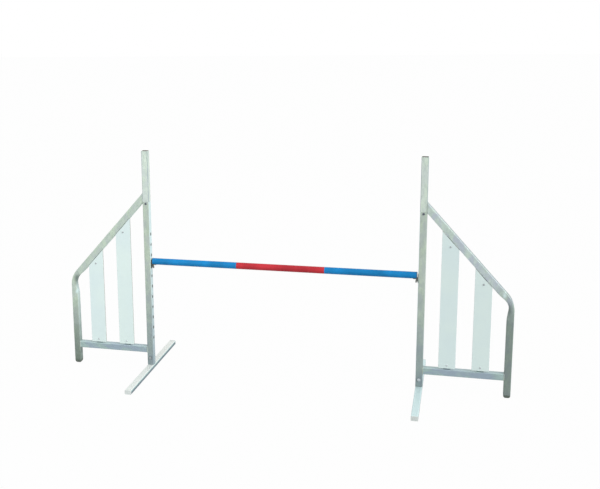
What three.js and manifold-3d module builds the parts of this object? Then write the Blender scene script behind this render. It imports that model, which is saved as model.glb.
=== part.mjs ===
// Agility hurdle: two mirrored wing stands of galvanised square tube, with a loose jump bar in cups between
// them. Millimetres, +Z up, +X along the bar, -Y the front. The origin is on the floor, midway between the
// posts. A stand is drawn once in its own frame, with its post's axis at x = 0 and +x outwards.
import * as THREE from 'three';
import { mergeVertices } from 'three/addons/utils/BufferGeometryUtils.js';
import Module from 'manifold-3d';

const wasm = await Module();
wasm.setup();

// Square tube of the frame
const TUBE = 30;
const WALL = 2;
const CORNER_RADIUS = 3.5;
const CORNER_STEPS = 3;

// Clearances
const SEAT_GAP = 0.3; // between two pieces that rest on each other or are welded together
const BOLT_CLEARANCE = 0.3; // around a screw or bolt in its hole

// Drawing
const MERGE_DISTANCE = 1e-4; // vertices nearer than this are one
const OVERRUN = 1; // how far a shape runs into the one it is joined to, or a cut runs past a face
const HEXAGON = 6;

// Jump bar
const BAR_LENGTH = 1200;
const BAR_DIAMETER = 30;
const BAR_WALL = 2.5;
const BAR_WRAP = 0.5;
const BAR_BANDS = ['blue', 'red', 'blue'];
const BAR_SIDES = 32;
const BAR_END_PLAY = 5; // from each end of the bar to the post
const BAR_CAP_DEPTH = 20;
const BAR_CAP_FLANGE = 2;

// Posts
const POST_TOP = 1040;
const MAST_JOINT = 806; // height at which the mast stands on the lower post
const SPIGOT_LENGTH = 120;
const MAST_SCREW_BELOW_JOINT = 9;
const HOLE_COUNT = 11;
const HOLE_PITCH = 50;
const FIRST_HOLE = 153;
const HOLE_DIAMETER = 8;

// Wing
const LEG_OFFSET = 370; // from the post's axis to the outer leg's axis
const RAIL_TOP = 846; // height of the sloping rail's upper edge where it meets the post
const RAIL_ANGLE = THREE.MathUtils.degToRad(48.2);
const BEND_RADIUS = 95;
const BEND_STEPS = 10;
const RAIL_END_CUT = 240;
const BOTTOM_RAIL_HEIGHT = 95; // to its axis

// Slats
const SLAT_WIDTH = 72;
const SLAT_THICKNESS = 8;
const INNER_SLAT_OFFSET = 116;
const OUTER_SLAT_OFFSET = 256;
const SLAT_BOTTOM_GAP = 6;
const SLAT_TOP_GAP = 1;
const SLAT_SCREW_BELOW_RAIL = 29;
const SLAT_SCREW_ABOVE_END = 14;
const LUG_WIDTH = 30;
const LUG_THICKNESS = 3;
const LUG_PAST_SCREW = 12;

// Foot
const FOOT_LENGTH = 670;
const FOOT_WIDTH = 30;
const FOOT_HEIGHT = 20;
const STUB_HEIGHT = 70;
const FOOT_BOLT_ABOVE_FOOT = 35;

// End caps
const CAP_FLANGE = 3;
const CAP_PLUG = 16;
const GLIDE_HEIGHT = 14; // of the rounded cap under the outer leg
const GLIDE_ROUNDING = 9; // how far its flat base lies inside the tube's faces
const GLIDE_STEPS = 4;

// Fasteners
const SLAT_SCREW = { shank: 4.5, head: 9, headHeight: 2.4, length: 18, recess: 2.4 };
const MAST_SCREW = { shank: 5, head: 10, headHeight: 2.8, length: 14, recess: 3.2 };
const SCREW_DOME_ARC = THREE.MathUtils.degToRad(72);
const SCREW_DOME_STEPS = 3;
const SCREW_SIDES = 12;
const FOOT_BOLT = { shank: 8, flats: 13, headHeight: 5.3, nutHeight: 6.5, pastNut: 2.5 };

// Cups
const CUP_HOLE = 7; // counted from the lowest hole, which is 0
const CUP_PLATE = 2;
const CUP_PLATE_WIDTH = 26;
const CUP_PLATE_BELOW_PIN = 12;
const CUP_LIP_ABOVE_BAR_AXIS = 6;
const CUP_LIP_RADIUS = 8;
const CUP_LENGTH = 20;
const CUP_THICKNESS = 2;
const CUP_BAR_CLEARANCE = 1; // how much larger the trough's radius is than the bar's
const CUP_HALF_ARC = THREE.MathUtils.degToRad(42);
const CUP_ARC_STEPS = 10;
const RIB_THICKNESS = 2;
const RIB_REACH = 9;
const PIN_DIAMETER = 6;
const PIN_REACH = 12; // how far the pin goes into the post
const PIN_SHOULDER = 7; // from the cup's plate to the middle of the pin's tail
const PIN_TAIL = 12;
const PIN_BEND_RADIUS = 4;
const PIN_BEND_STEPS = 6;
const PIN_SIDES = 16;
const PIN_RUNNING_GAP = 0.5;

// Worked out from the values above
const HALF_TUBE = TUBE / 2;
const POST_AXIS = BAR_LENGTH / 2 + BAR_END_PLAY + HALF_TUBE;
const INNER_TUBE = TUBE - 2 * WALL - 2 * SEAT_GAP; // a tube or plug that slides into the frame's tube
const RAIL_SLOPE = Math.tan(RAIL_ANGLE);
const RAIL_HALF_HEIGHT = HALF_TUBE / Math.cos(RAIL_ANGLE); // measured upright
const BOTTOM_RAIL_TOP = BOTTOM_RAIL_HEIGHT + HALF_TUBE;
const SLAT_BACK = SLAT_THICKNESS - HALF_TUBE;
const BAR_RADIUS = BAR_DIAMETER / 2;
const TROUGH_RADIUS = BAR_RADIUS + CUP_BAR_CLEARANCE;
const PIN_HEIGHT = FIRST_HOLE + CUP_HOLE * HOLE_PITCH;
const TROUGH_AXIS = PIN_HEIGHT + PIN_DIAMETER / 2 + PIN_RUNNING_GAP + CUP_THICKNESS + TROUGH_RADIUS;
const BAR_HEIGHT = TROUGH_AXIS - CUP_BAR_CLEARANCE + SEAT_GAP;

const galvanised = { color: 0xb4c1ba, roughness: 0.45, metalness: 0.85 };
const zincPlated = { color: 0xc9ced2, roughness: 0.3, metalness: 0.9 };
const darkScrew = { color: 0x5b6164, roughness: 0.45, metalness: 0.8 };
const slatPlastic = { color: 0xdaf0ea, roughness: 0.4, metalness: 0 };
const greyPlastic = { color: 0x6f7678, roughness: 0.6, metalness: 0 };
const bluePlastic = { color: 0x177dc1, roughness: 0.35, metalness: 0 };
const redPlastic = { color: 0xc13b42, roughness: 0.35, metalness: 0 };
const palePlastic = { color: 0xd3dad8, roughness: 0.5, metalness: 0 };
const whitePlastic = { color: 0xe9ecec, roughness: 0.45, metalness: 0 };

// Booleans

function solidOf(geometry) {
  const bare = geometry.clone();
  bare.deleteAttribute('normal');
  bare.deleteAttribute('uv');
  const merged = mergeVertices(bare, MERGE_DISTANCE);
  return new wasm.Manifold(new wasm.Mesh({
    numProp: 3,
    vertProperties: Float32Array.from(merged.attributes.position.array),
    triVerts: Uint32Array.from(merged.index.array),
  }));
}

function geometryOf(solid) {
  const mesh = solid.getMesh();
  const geometry = new THREE.BufferGeometry();
  geometry.setAttribute('position', new THREE.BufferAttribute(mesh.vertProperties, 3));
  geometry.setIndex(new THREE.BufferAttribute(mesh.triVerts, 1));
  return geometry;
}

function cut(geometry, ...tools) {
  return geometryOf(tools.reduce((left, tool) => left.subtract(solidOf(tool)), solidOf(geometry)));
}

function join(...geometries) {
  const [first, ...others] = geometries.map(solidOf);
  return geometryOf(others.reduce((whole, other) => whole.add(other), first));
}

function mirrored(geometry) {
  const bare = geometry.clone().deleteAttribute('normal').deleteAttribute('uv');
  const copy = mergeVertices(bare, MERGE_DISTANCE);
  copy.scale(-1, 1, 1);
  const corners = copy.index.array;
  for (let i = 0; i < corners.length; i += 3) {
    [corners[i], corners[i + 1]] = [corners[i + 1], corners[i]];
  }
  return copy;
}

// Outlines

function roundedOutline(width, height, radius, steps = CORNER_STEPS) {
  const points = [];
  const centres = [[1, 1], [-1, 1], [-1, -1], [1, -1]];
  centres.forEach(([sideX, sideY], corner) => {
    for (let i = 0; i <= steps; i += 1) {
      const angle = (corner + i / steps) * Math.PI / 2;
      const x = sideX * (width / 2 - radius) + radius * Math.cos(angle);
      const y = sideY * (height / 2 - radius) + radius * Math.sin(angle);
      points.push(new THREE.Vector2(x, y));
    }
  });
  return points;
}

function tubeSection(width, height) {
  const section = new THREE.Shape(roundedOutline(width, height, CORNER_RADIUS));
  const inside = roundedOutline(width - 2 * WALL, height - 2 * WALL, CORNER_RADIUS - WALL);
  section.holes.push(new THREE.Path(inside));
  return section;
}

function polygonOutline(sides, flats) {
  const radius = flats / 2 / Math.cos(Math.PI / sides);
  return Array.from({ length: sides }, (_, i) => {
    const angle = 2 * Math.PI * (i + 0.5) / sides;
    return new THREE.Vector2(radius * Math.cos(angle), radius * Math.sin(angle));
  });
}

// Extrusions, each along one axis

function alongZ(section, from, to) {
  return new THREE.ExtrudeGeometry(section, { depth: to - from, bevelEnabled: false }).translate(0, 0, from);
}

function alongX(section, from, to) {
  return alongZ(section, from, to).rotateX(Math.PI / 2).rotateZ(Math.PI / 2);
}

// The section's x stays x and its y becomes z.
function alongY(section, from, to) {
  return alongZ(section, -to, -from).rotateX(Math.PI / 2);
}

function drillAlongX(diameter, y, z, from, to) {
  const radius = diameter / 2;
  return new THREE.CylinderGeometry(radius, radius, to - from, PIN_SIDES)
    .rotateZ(Math.PI / 2).translate((from + to) / 2, y, z);
}

function drillAlongY(diameter, x, z, from, to) {
  const radius = diameter / 2;
  return new THREE.CylinderGeometry(radius, radius, to - from, PIN_SIDES)
    .translate(x, (from + to) / 2, z);
}

// A solid through level outlines, lowest first, that all have as many points.
function loft(levels) {
  const count = levels[0].outline.length;
  const top = (levels.length - 1) * count;
  const positions = levels.flatMap(({ outline, height }) => outline.flatMap(({ x, y }) => [x, y, height]));
  const corners = [];
  for (let i = 0; i < count; i += 1) {
    const next = (i + 1) % count;
    for (let below = 0; below < top; below += count) {
      const above = below + count;
      corners.push(below + i, below + next, above + next, below + i, above + next, above + i);
    }
    if (i > 0 && next > 0) {
      corners.push(0, next, i, top, top + i, top + next);
    }
  }
  const geometry = new THREE.BufferGeometry();
  geometry.setAttribute('position', new THREE.Float32BufferAttribute(positions, 3));
  geometry.setIndex(corners);
  return geometry;
}

// A run with one bend in the plane y = 0: straight, arc, straight.
class BentRun extends THREE.Curve {
  constructor(start, corner, end, radius, steps) {
    super();
    const inward = start.clone().sub(corner).normalize();
    const outward = end.clone().sub(corner).normalize();
    const halfAngle = inward.angleTo(outward) / 2;
    const setback = radius / Math.tan(halfAngle);
    const centre = inward.clone().add(outward).setLength(radius / Math.sin(halfAngle)).add(corner);
    const first = inward.clone().multiplyScalar(setback).add(corner).sub(centre);
    const heading = inward.clone().negate();
    const turn = Math.PI - 2 * halfAngle;
    this.points = [start];
    this.headings = [heading];
    for (let i = 0; i <= steps; i += 1) {
      const angle = turn * i / steps;
      const arm = first.clone().multiplyScalar(Math.cos(angle));
      arm.addScaledVector(heading, radius * Math.sin(angle));
      const direction = heading.clone().multiplyScalar(Math.cos(angle));
      direction.addScaledVector(first, -Math.sin(angle) / radius);
      this.points.push(arm.add(centre));
      this.headings.push(direction.normalize());
    }
    this.points.push(end);
    this.headings.push(outward);
  }

  stations() {
    return this.points.length - 1;
  }

  getPointAt(share) {
    return this.points[Math.round(share * this.stations())].clone();
  }

  getTangentAt(share) {
    return this.headings[Math.round(share * this.stations())].clone();
  }

  sweep(section) {
    return new THREE.ExtrudeGeometry(section, { steps: this.stations(), extrudePath: this });
  }
}

// Frame of one stand

function railAxisHeight(x) {
  return RAIL_TOP - RAIL_HALF_HEIGHT - (x - HALF_TUBE) * RAIL_SLOPE;
}

function railUndersideHeight(x) {
  return railAxisHeight(x) - RAIL_HALF_HEIGHT;
}

function lowerPost() {
  const tube = alongZ(tubeSection(TUBE, TUBE), FOOT_HEIGHT + SEAT_GAP, MAST_JOINT);
  const cupHoles = Array.from({ length: HOLE_COUNT }, (_, i) => (
    drillAlongX(HOLE_DIAMETER, 0, FIRST_HOLE + i * HOLE_PITCH, -TUBE, 0)
  ));
  const screwHole = drillAlongY(
    MAST_SCREW.shank + 2 * BOLT_CLEARANCE, 0, MAST_JOINT - MAST_SCREW_BELOW_JOINT, -TUBE, 0,
  );
  return cut(tube, ...cupHoles, screwHole, footBoltHole());
}

function mast() {
  return alongZ(tubeSection(TUBE, TUBE), MAST_JOINT + SEAT_GAP, POST_TOP);
}

function mastSpigot() {
  const half = SPIGOT_LENGTH / 2;
  const tube = alongZ(tubeSection(INNER_TUBE, INNER_TUBE), MAST_JOINT - half, MAST_JOINT + half);
  const screwHole = drillAlongY(
    MAST_SCREW.shank + 2 * BOLT_CLEARANCE, 0, MAST_JOINT - MAST_SCREW_BELOW_JOINT, -TUBE, 0,
  );
  return cut(tube, screwHole);
}

function wingRail() {
  const start = new THREE.Vector3(-HALF_TUBE, 0, railAxisHeight(-HALF_TUBE));
  const corner = new THREE.Vector3(LEG_OFFSET, 0, railAxisHeight(LEG_OFFSET));
  const end = new THREE.Vector3(LEG_OFFSET, 0, GLIDE_HEIGHT + SEAT_GAP);
  const run = new BentRun(start, corner, end, BEND_RADIUS, BEND_STEPS).sweep(tubeSection(TUBE, TUBE));
  // What the run reaches past the post's face is cut off upright, by a block larger than that end.
  const block = new THREE.BoxGeometry(RAIL_END_CUT, RAIL_END_CUT, RAIL_END_CUT);
  block.translate(HALF_TUBE + SEAT_GAP - RAIL_END_CUT / 2, 0, RAIL_TOP);
  return cut(run, block);
}

function bottomRail() {
  const section = tubeSection(TUBE, TUBE);
  const rail = alongX(section, HALF_TUBE + SEAT_GAP, LEG_OFFSET - HALF_TUBE - SEAT_GAP);
  return rail.translate(0, 0, BOTTOM_RAIL_HEIGHT);
}

// Foot

function footBoltHole() {
  const height = FOOT_HEIGHT + FOOT_BOLT_ABOVE_FOOT;
  return drillAlongY(FOOT_BOLT.shank + 2 * BOLT_CLEARANCE, 0, height, -TUBE, TUBE);
}

function crossFoot() {
  const half = FOOT_LENGTH / 2 - CAP_FLANGE - SEAT_GAP;
  return alongY(tubeSection(FOOT_WIDTH, FOOT_HEIGHT), -half, half).translate(0, 0, FOOT_HEIGHT / 2);
}

function footStub() {
  const bottom = FOOT_HEIGHT + SEAT_GAP;
  return cut(alongZ(tubeSection(INNER_TUBE, INNER_TUBE), bottom, bottom + STUB_HEIGHT), footBoltHole());
}

function footBolt() {
  const head = new THREE.Shape(polygonOutline(HEXAGON, FOOT_BOLT.flats));
  const headFace = -HALF_TUBE - SEAT_GAP;
  const tip = HALF_TUBE + SEAT_GAP + FOOT_BOLT.nutHeight + FOOT_BOLT.pastNut;
  const bolt = join(
    alongY(head, headFace - FOOT_BOLT.headHeight, headFace),
    drillAlongY(FOOT_BOLT.shank, 0, 0, headFace - OVERRUN, tip),
  );
  return bolt.translate(0, 0, FOOT_HEIGHT + FOOT_BOLT_ABOVE_FOOT);
}

function footNut() {
  const from = HALF_TUBE + SEAT_GAP;
  const outline = new THREE.Shape(polygonOutline(HEXAGON, FOOT_BOLT.flats));
  const nut = alongY(outline, from, from + FOOT_BOLT.nutHeight);
  return cut(nut.translate(0, 0, FOOT_HEIGHT + FOOT_BOLT_ABOVE_FOOT), footBoltHole());
}

// The plug of a cap, inside a tube whose end is at the height given.
function capPlug(width, height, tubeEnd) {
  const margin = 2 * WALL + 2 * SEAT_GAP;
  const outline = roundedOutline(width - margin, height - margin, CORNER_RADIUS - WALL);
  return alongZ(new THREE.Shape(outline), tubeEnd - OVERRUN, tubeEnd + CAP_PLUG);
}

// The leg stands on a glide whose sides curve in to a smaller flat base.
function legCap() {
  const levels = [];
  for (let i = 0; i <= GLIDE_STEPS; i += 1) {
    const angle = (i / GLIDE_STEPS) * Math.PI / 2;
    const inset = GLIDE_ROUNDING * (1 - Math.sin(angle));
    const width = TUBE - 2 * inset;
    const height = GLIDE_HEIGHT * (1 - Math.cos(angle));
    levels.push({ outline: roundedOutline(width, width, CORNER_RADIUS), height });
  }
  return join(loft(levels), capPlug(TUBE, TUBE, GLIDE_HEIGHT)).translate(LEG_OFFSET, 0, 0);
}

function footCap(end) {
  const flange = new THREE.Shape(roundedOutline(FOOT_WIDTH, FOOT_HEIGHT, CORNER_RADIUS));
  const cap = join(alongZ(flange, 0, CAP_FLANGE), capPlug(FOOT_WIDTH, FOOT_HEIGHT, CAP_FLANGE));
  cap.rotateX(end * Math.PI / 2);
  return cap.translate(0, end * FOOT_LENGTH / 2, FOOT_HEIGHT / 2);
}

// Slats, their lugs and their screws

function slatScrewHeights(offset) {
  return {
    upper: railUndersideHeight(offset) - SLAT_SCREW_BELOW_RAIL,
    lower: BOTTOM_RAIL_TOP + SLAT_BOTTOM_GAP + SLAT_SCREW_ABOVE_END,
  };
}

function screwHoleThrough(offset, height) {
  return drillAlongY(SLAT_SCREW.shank + 2 * BOLT_CLEARANCE, offset, height, -TUBE, TUBE);
}

function slat(offset) {
  const [left, right] = [offset - SLAT_WIDTH / 2, offset + SLAT_WIDTH / 2];
  const bottom = BOTTOM_RAIL_TOP + SLAT_BOTTOM_GAP;
  const drop = SLAT_TOP_GAP / Math.cos(RAIL_ANGLE);
  const outline = new THREE.Shape([
    new THREE.Vector2(left, bottom),
    new THREE.Vector2(right, bottom),
    new THREE.Vector2(right, railUndersideHeight(right) - drop),
    new THREE.Vector2(left, railUndersideHeight(left) - drop),
  ]);
  const heights = slatScrewHeights(offset);
  const board = alongY(outline, -HALF_TUBE, SLAT_BACK);
  return cut(board, screwHoleThrough(offset, heights.upper), screwHoleThrough(offset, heights.lower));
}

function lugPlate(offset, outline, screwHeight) {
  const front = SLAT_BACK + SEAT_GAP;
  const plate = alongY(new THREE.Shape(outline), front, front + LUG_THICKNESS);
  return cut(plate, screwHoleThrough(offset, screwHeight));
}

function upperLug(offset) {
  const [left, right] = [offset - LUG_WIDTH / 2, offset + LUG_WIDTH / 2];
  const height = slatScrewHeights(offset).upper;
  const drop = SEAT_GAP / Math.cos(RAIL_ANGLE);
  return lugPlate(offset, [
    new THREE.Vector2(left, height - LUG_PAST_SCREW),
    new THREE.Vector2(right, height - LUG_PAST_SCREW),
    new THREE.Vector2(right, railUndersideHeight(right) - drop),
    new THREE.Vector2(left, railUndersideHeight(left) - drop),
  ], height);
}

function lowerLug(offset) {
  const [left, right] = [offset - LUG_WIDTH / 2, offset + LUG_WIDTH / 2];
  const height = slatScrewHeights(offset).lower;
  return lugPlate(offset, [
    new THREE.Vector2(left, BOTTOM_RAIL_TOP + SEAT_GAP),
    new THREE.Vector2(right, BOTTOM_RAIL_TOP + SEAT_GAP),
    new THREE.Vector2(right, height + LUG_PAST_SCREW),
    new THREE.Vector2(left, height + LUG_PAST_SCREW),
  ], height);
}

// A round-headed screw driven in from the front face, with a hexagonal recess in its head.
function frontScrew(size, x, z) {
  const seat = HALF_TUBE + SEAT_GAP;
  const headRadius = size.head / 2;
  const profile = [new THREE.Vector2(0, size.headHeight)];
  for (let i = 0; i <= SCREW_DOME_STEPS; i += 1) {
    const angle = (1 - i / SCREW_DOME_STEPS) * SCREW_DOME_ARC;
    const height = size.headHeight * Math.sin(angle) / Math.sin(SCREW_DOME_ARC);
    profile.push(new THREE.Vector2(headRadius * Math.cos(angle), height));
  }
  profile.push(new THREE.Vector2(size.shank / 2, 0));
  profile.push(new THREE.Vector2(size.shank / 2, size.shank - size.length));
  profile.push(new THREE.Vector2(0, -size.length));
  profile.reverse();
  const screw = new THREE.LatheGeometry(profile, SCREW_SIDES);
  const recess = new THREE.Shape(polygonOutline(HEXAGON, size.recess));
  const socket = alongZ(recess, 0, size.headHeight).rotateX(-Math.PI / 2);
  socket.translate(0, size.headHeight / 2, 0);
  return cut(screw, socket).rotateZ(Math.PI).translate(x, -seat, z);
}

// Cup and pin

function cup() {
  const face = -HALF_TUBE - SEAT_GAP;
  const front = face - CUP_PLATE;
  const halfWidth = CUP_PLATE_WIDTH / 2;
  const top = BAR_HEIGHT + CUP_LIP_ABOVE_BAR_AXIS;
  const bottom = PIN_HEIGHT - CUP_PLATE_BELOW_PIN;
  const outline = roundedOutline(CUP_PLATE_WIDTH, top - bottom, CUP_LIP_RADIUS);
  outline.forEach((point) => point.set(point.x, point.y + (top + bottom) / 2));
  const plate = alongX(new THREE.Shape(outline), front, face);

  const arc = [];
  for (let i = 0; i <= CUP_ARC_STEPS; i += 1) {
    arc.push(-Math.PI / 2 + CUP_HALF_ARC * (2 * i / CUP_ARC_STEPS - 1));
  }
  const at = (radius, angle) => (
    new THREE.Vector2(radius * Math.cos(angle), TROUGH_AXIS + radius * Math.sin(angle))
  );
  const outside = arc.map((angle) => at(TROUGH_RADIUS + CUP_THICKNESS, angle));
  const inside = arc.map((angle) => at(TROUGH_RADIUS, angle)).reverse();
  const trough = alongX(new THREE.Shape([...outside, ...inside]), front - CUP_LENGTH, front + CUP_PLATE / 2);

  const ribFrom = PIN_DIAMETER / 2 + 2 * PIN_RUNNING_GAP;
  const ribMiddle = ribFrom + RIB_THICKNESS / 2;
  const troughUnderside = TROUGH_AXIS - Math.sqrt((TROUGH_RADIUS + CUP_THICKNESS / 2) ** 2 - ribMiddle ** 2);
  const ribOutline = new THREE.Shape([
    new THREE.Vector2(front + CUP_PLATE / 2, bottom + CUP_LIP_RADIUS / 2),
    new THREE.Vector2(front + CUP_PLATE / 2, troughUnderside),
    new THREE.Vector2(front - RIB_REACH, troughUnderside),
    new THREE.Vector2(front, bottom + CUP_LIP_RADIUS / 2),
  ].reverse());
  const ribs = [-1, 1].map((side) => (
    alongY(ribOutline, side * ribMiddle - RIB_THICKNESS / 2, side * ribMiddle + RIB_THICKNESS / 2)
  ));
  const pinHole = drillAlongX(PIN_DIAMETER + 2 * SEAT_GAP, 0, PIN_HEIGHT, front - OVERRUN, face + OVERRUN);
  return cut(join(plate, trough, ...ribs), pinHole);
}

function cupPin() {
  const tip = new THREE.Vector3(-HALF_TUBE + PIN_REACH, 0, PIN_HEIGHT);
  const bend = new THREE.Vector3(-HALF_TUBE - SEAT_GAP - CUP_PLATE - PIN_SHOULDER, 0, PIN_HEIGHT);
  const tail = new THREE.Vector3(bend.x, 0, PIN_HEIGHT - PIN_TAIL);
  const section = new THREE.Shape(polygonOutline(PIN_SIDES, PIN_DIAMETER));
  return new BentRun(tip, bend, tail, PIN_BEND_RADIUS, PIN_BEND_STEPS).sweep(section);
}

// Bar, drawn along the X axis at z = 0

function ring(outerRadius, innerRadius, from, to) {
  const profile = [
    new THREE.Vector2(innerRadius, from),
    new THREE.Vector2(outerRadius, from),
    new THREE.Vector2(outerRadius, to),
    new THREE.Vector2(innerRadius, to),
    new THREE.Vector2(innerRadius, from),
  ];
  return new THREE.LatheGeometry(profile, BAR_SIDES).rotateZ(-Math.PI / 2);
}

const BAR_CORE_RADIUS = BAR_RADIUS - BAR_WRAP - SEAT_GAP;
const BAR_CAP_FACE = BAR_LENGTH / 2 - BAR_CAP_FLANGE;

function barTube() {
  const end = BAR_CAP_FACE - SEAT_GAP;
  return ring(BAR_CORE_RADIUS, BAR_CORE_RADIUS - BAR_WALL, -end, end);
}

function barWrap(index) {
  const end = BAR_CAP_FACE - SEAT_GAP;
  const pitch = (2 * end + SEAT_GAP) / BAR_BANDS.length;
  const from = -end + index * pitch;
  return ring(BAR_RADIUS, BAR_RADIUS - BAR_WRAP, from, from + pitch - SEAT_GAP);
}

function barCap(side) {
  const plugRadius = BAR_CORE_RADIUS - BAR_WALL - SEAT_GAP;
  const profile = [
    new THREE.Vector2(0, BAR_CAP_FACE - BAR_CAP_DEPTH),
    new THREE.Vector2(plugRadius, BAR_CAP_FACE - BAR_CAP_DEPTH),
    new THREE.Vector2(plugRadius, BAR_CAP_FACE),
    new THREE.Vector2(BAR_RADIUS, BAR_CAP_FACE),
    new THREE.Vector2(BAR_RADIUS, BAR_CAP_FACE + BAR_CAP_FLANGE / 2),
    new THREE.Vector2(BAR_RADIUS - BAR_CAP_FLANGE / 2, BAR_CAP_FACE + BAR_CAP_FLANGE),
    new THREE.Vector2(0, BAR_CAP_FACE + BAR_CAP_FLANGE),
  ];
  return new THREE.LatheGeometry(profile, BAR_SIDES).rotateZ(-side * Math.PI / 2);
}

// Assembly

function piece(name, geometry, finish) {
  const mesh = new THREE.Mesh(geometry, new THREE.MeshStandardMaterial(finish));
  mesh.name = name;
  return mesh;
}

function standPieces() {
  const mastScrewHeight = MAST_JOINT - MAST_SCREW_BELOW_JOINT;
  const pieces = [
    ['lower_post', lowerPost(), galvanised],
    ['mast', mast(), galvanised],
    ['mast_spigot', mastSpigot(), galvanised],
    ['mast_screw', frontScrew(MAST_SCREW, 0, mastScrewHeight), darkScrew],
    ['wing_rail', wingRail(), galvanised],
    ['bottom_rail', bottomRail(), galvanised],
    ['leg_cap', legCap(), greyPlastic],
    ['cross_foot', crossFoot(), galvanised],
    ['foot_stub', footStub(), galvanised],
    ['foot_bolt', footBolt(), zincPlated],
    ['foot_nut', footNut(), zincPlated],
    ['foot_cap_front', footCap(-1), palePlastic],
    ['foot_cap_rear', footCap(1), palePlastic],
    ['cup', cup(), zincPlated],
    ['cup_pin', cupPin(), zincPlated],
  ];
  for (const [place, offset] of [['inner', INNER_SLAT_OFFSET], ['outer', OUTER_SLAT_OFFSET]]) {
    const heights = slatScrewHeights(offset);
    pieces.push(
      [`${place}_slat`, slat(offset), slatPlastic],
      [`${place}_slat_lug_upper`, upperLug(offset), galvanised],
      [`${place}_slat_lug_lower`, lowerLug(offset), galvanised],
      [`${place}_slat_screw_upper`, frontScrew(SLAT_SCREW, offset, heights.upper), darkScrew],
      [`${place}_slat_screw_lower`, frontScrew(SLAT_SCREW, offset, heights.lower), darkScrew],
    );
  }
  return pieces;
}

const hurdle = new THREE.Group();

const rightStand = new THREE.Group();
const leftStand = new THREE.Group();
rightStand.position.x = POST_AXIS;
leftStand.position.x = -POST_AXIS;
for (const [name, geometry, finish] of standPieces()) {
  rightStand.add(piece(`right_${name}`, geometry, finish));
  leftStand.add(piece(`left_${name}`, mirrored(geometry), finish));
}
hurdle.add(rightStand, leftStand);

const bar = new THREE.Group();
bar.position.z = BAR_HEIGHT;
bar.add(piece('bar_tube', barTube(), whitePlastic));
BAR_BANDS.forEach((colour, index) => {
  const finish = colour === 'red' ? redPlastic : bluePlastic;
  bar.add(piece(`bar_wrap_${index + 1}_${colour}`, barWrap(index), finish));
});
bar.add(piece('bar_cap_left', barCap(-1), greyPlastic));
bar.add(piece('bar_cap_right', barCap(1), greyPlastic));
hurdle.add(bar);

export default hurdle;
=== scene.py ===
import math
import random

import bmesh
import bpy
from bpy.props import FloatProperty, FloatVectorProperty, IntProperty, PointerProperty
from mathutils import Matrix, Vector


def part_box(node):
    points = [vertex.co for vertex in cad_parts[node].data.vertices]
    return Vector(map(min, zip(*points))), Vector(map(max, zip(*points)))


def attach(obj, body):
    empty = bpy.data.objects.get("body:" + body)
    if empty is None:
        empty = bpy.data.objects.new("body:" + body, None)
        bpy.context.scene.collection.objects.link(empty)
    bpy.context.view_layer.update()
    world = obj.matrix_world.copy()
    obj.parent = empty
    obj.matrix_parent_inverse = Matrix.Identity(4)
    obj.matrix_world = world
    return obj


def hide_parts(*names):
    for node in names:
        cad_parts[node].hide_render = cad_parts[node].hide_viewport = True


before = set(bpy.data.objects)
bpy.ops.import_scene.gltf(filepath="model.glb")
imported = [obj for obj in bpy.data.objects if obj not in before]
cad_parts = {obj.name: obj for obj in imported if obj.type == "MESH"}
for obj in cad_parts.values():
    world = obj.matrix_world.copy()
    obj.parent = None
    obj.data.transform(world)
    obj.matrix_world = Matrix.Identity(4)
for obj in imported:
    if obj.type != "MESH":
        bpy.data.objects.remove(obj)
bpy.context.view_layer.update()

bl_info = {
    "name": "Agility Hurdle",
    "version": (1, 0, 0),
    "blender": (4, 5, 0),
    "location": "View3D > Sidebar > Hurdle",
    "description": "Finishes an agility hurdle's stands, slats, cups and bar, and sets its stage",
    "category": "Object",
}

MM = 0.001
SEAT_GAP = 0.3 * MM  # what the frame leaves between pieces that touch


# Places, all read from the frame. Pieces are drawn for the right-hand stand and mirrored for the left.


class Extent:
    """A node's box at rest."""

    def __init__(self, node):
        self.low, self.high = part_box(node)
        self.middle = (self.low + self.high) / 2
        self.size = self.high - self.low


POST = Extent("right_lower_post")
MAST = Extent("right_mast")
WING = Extent("right_wing_rail")
BOTTOM_RAIL = Extent("right_bottom_rail")
TUBE = MAST.size.x
HALF_TUBE = TUBE / 2
LEG_X = WING.high.x - HALF_TUBE
FRONT = -HALF_TUBE  # Y of the tubes' front faces


# Settings


def length(name, description, default):
    return FloatProperty(name=name, description=description, default=default, min=0, unit="LENGTH")


def position(name, description, default):
    return FloatVectorProperty(
        name=name, description=description, default=default, size=3, subtype="XYZ", unit="LENGTH"
    )


def colour(name, description, default):
    return FloatVectorProperty(
        name=name, description=description, default=default, min=0, max=1, size=3, subtype="COLOR"
    )


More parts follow.
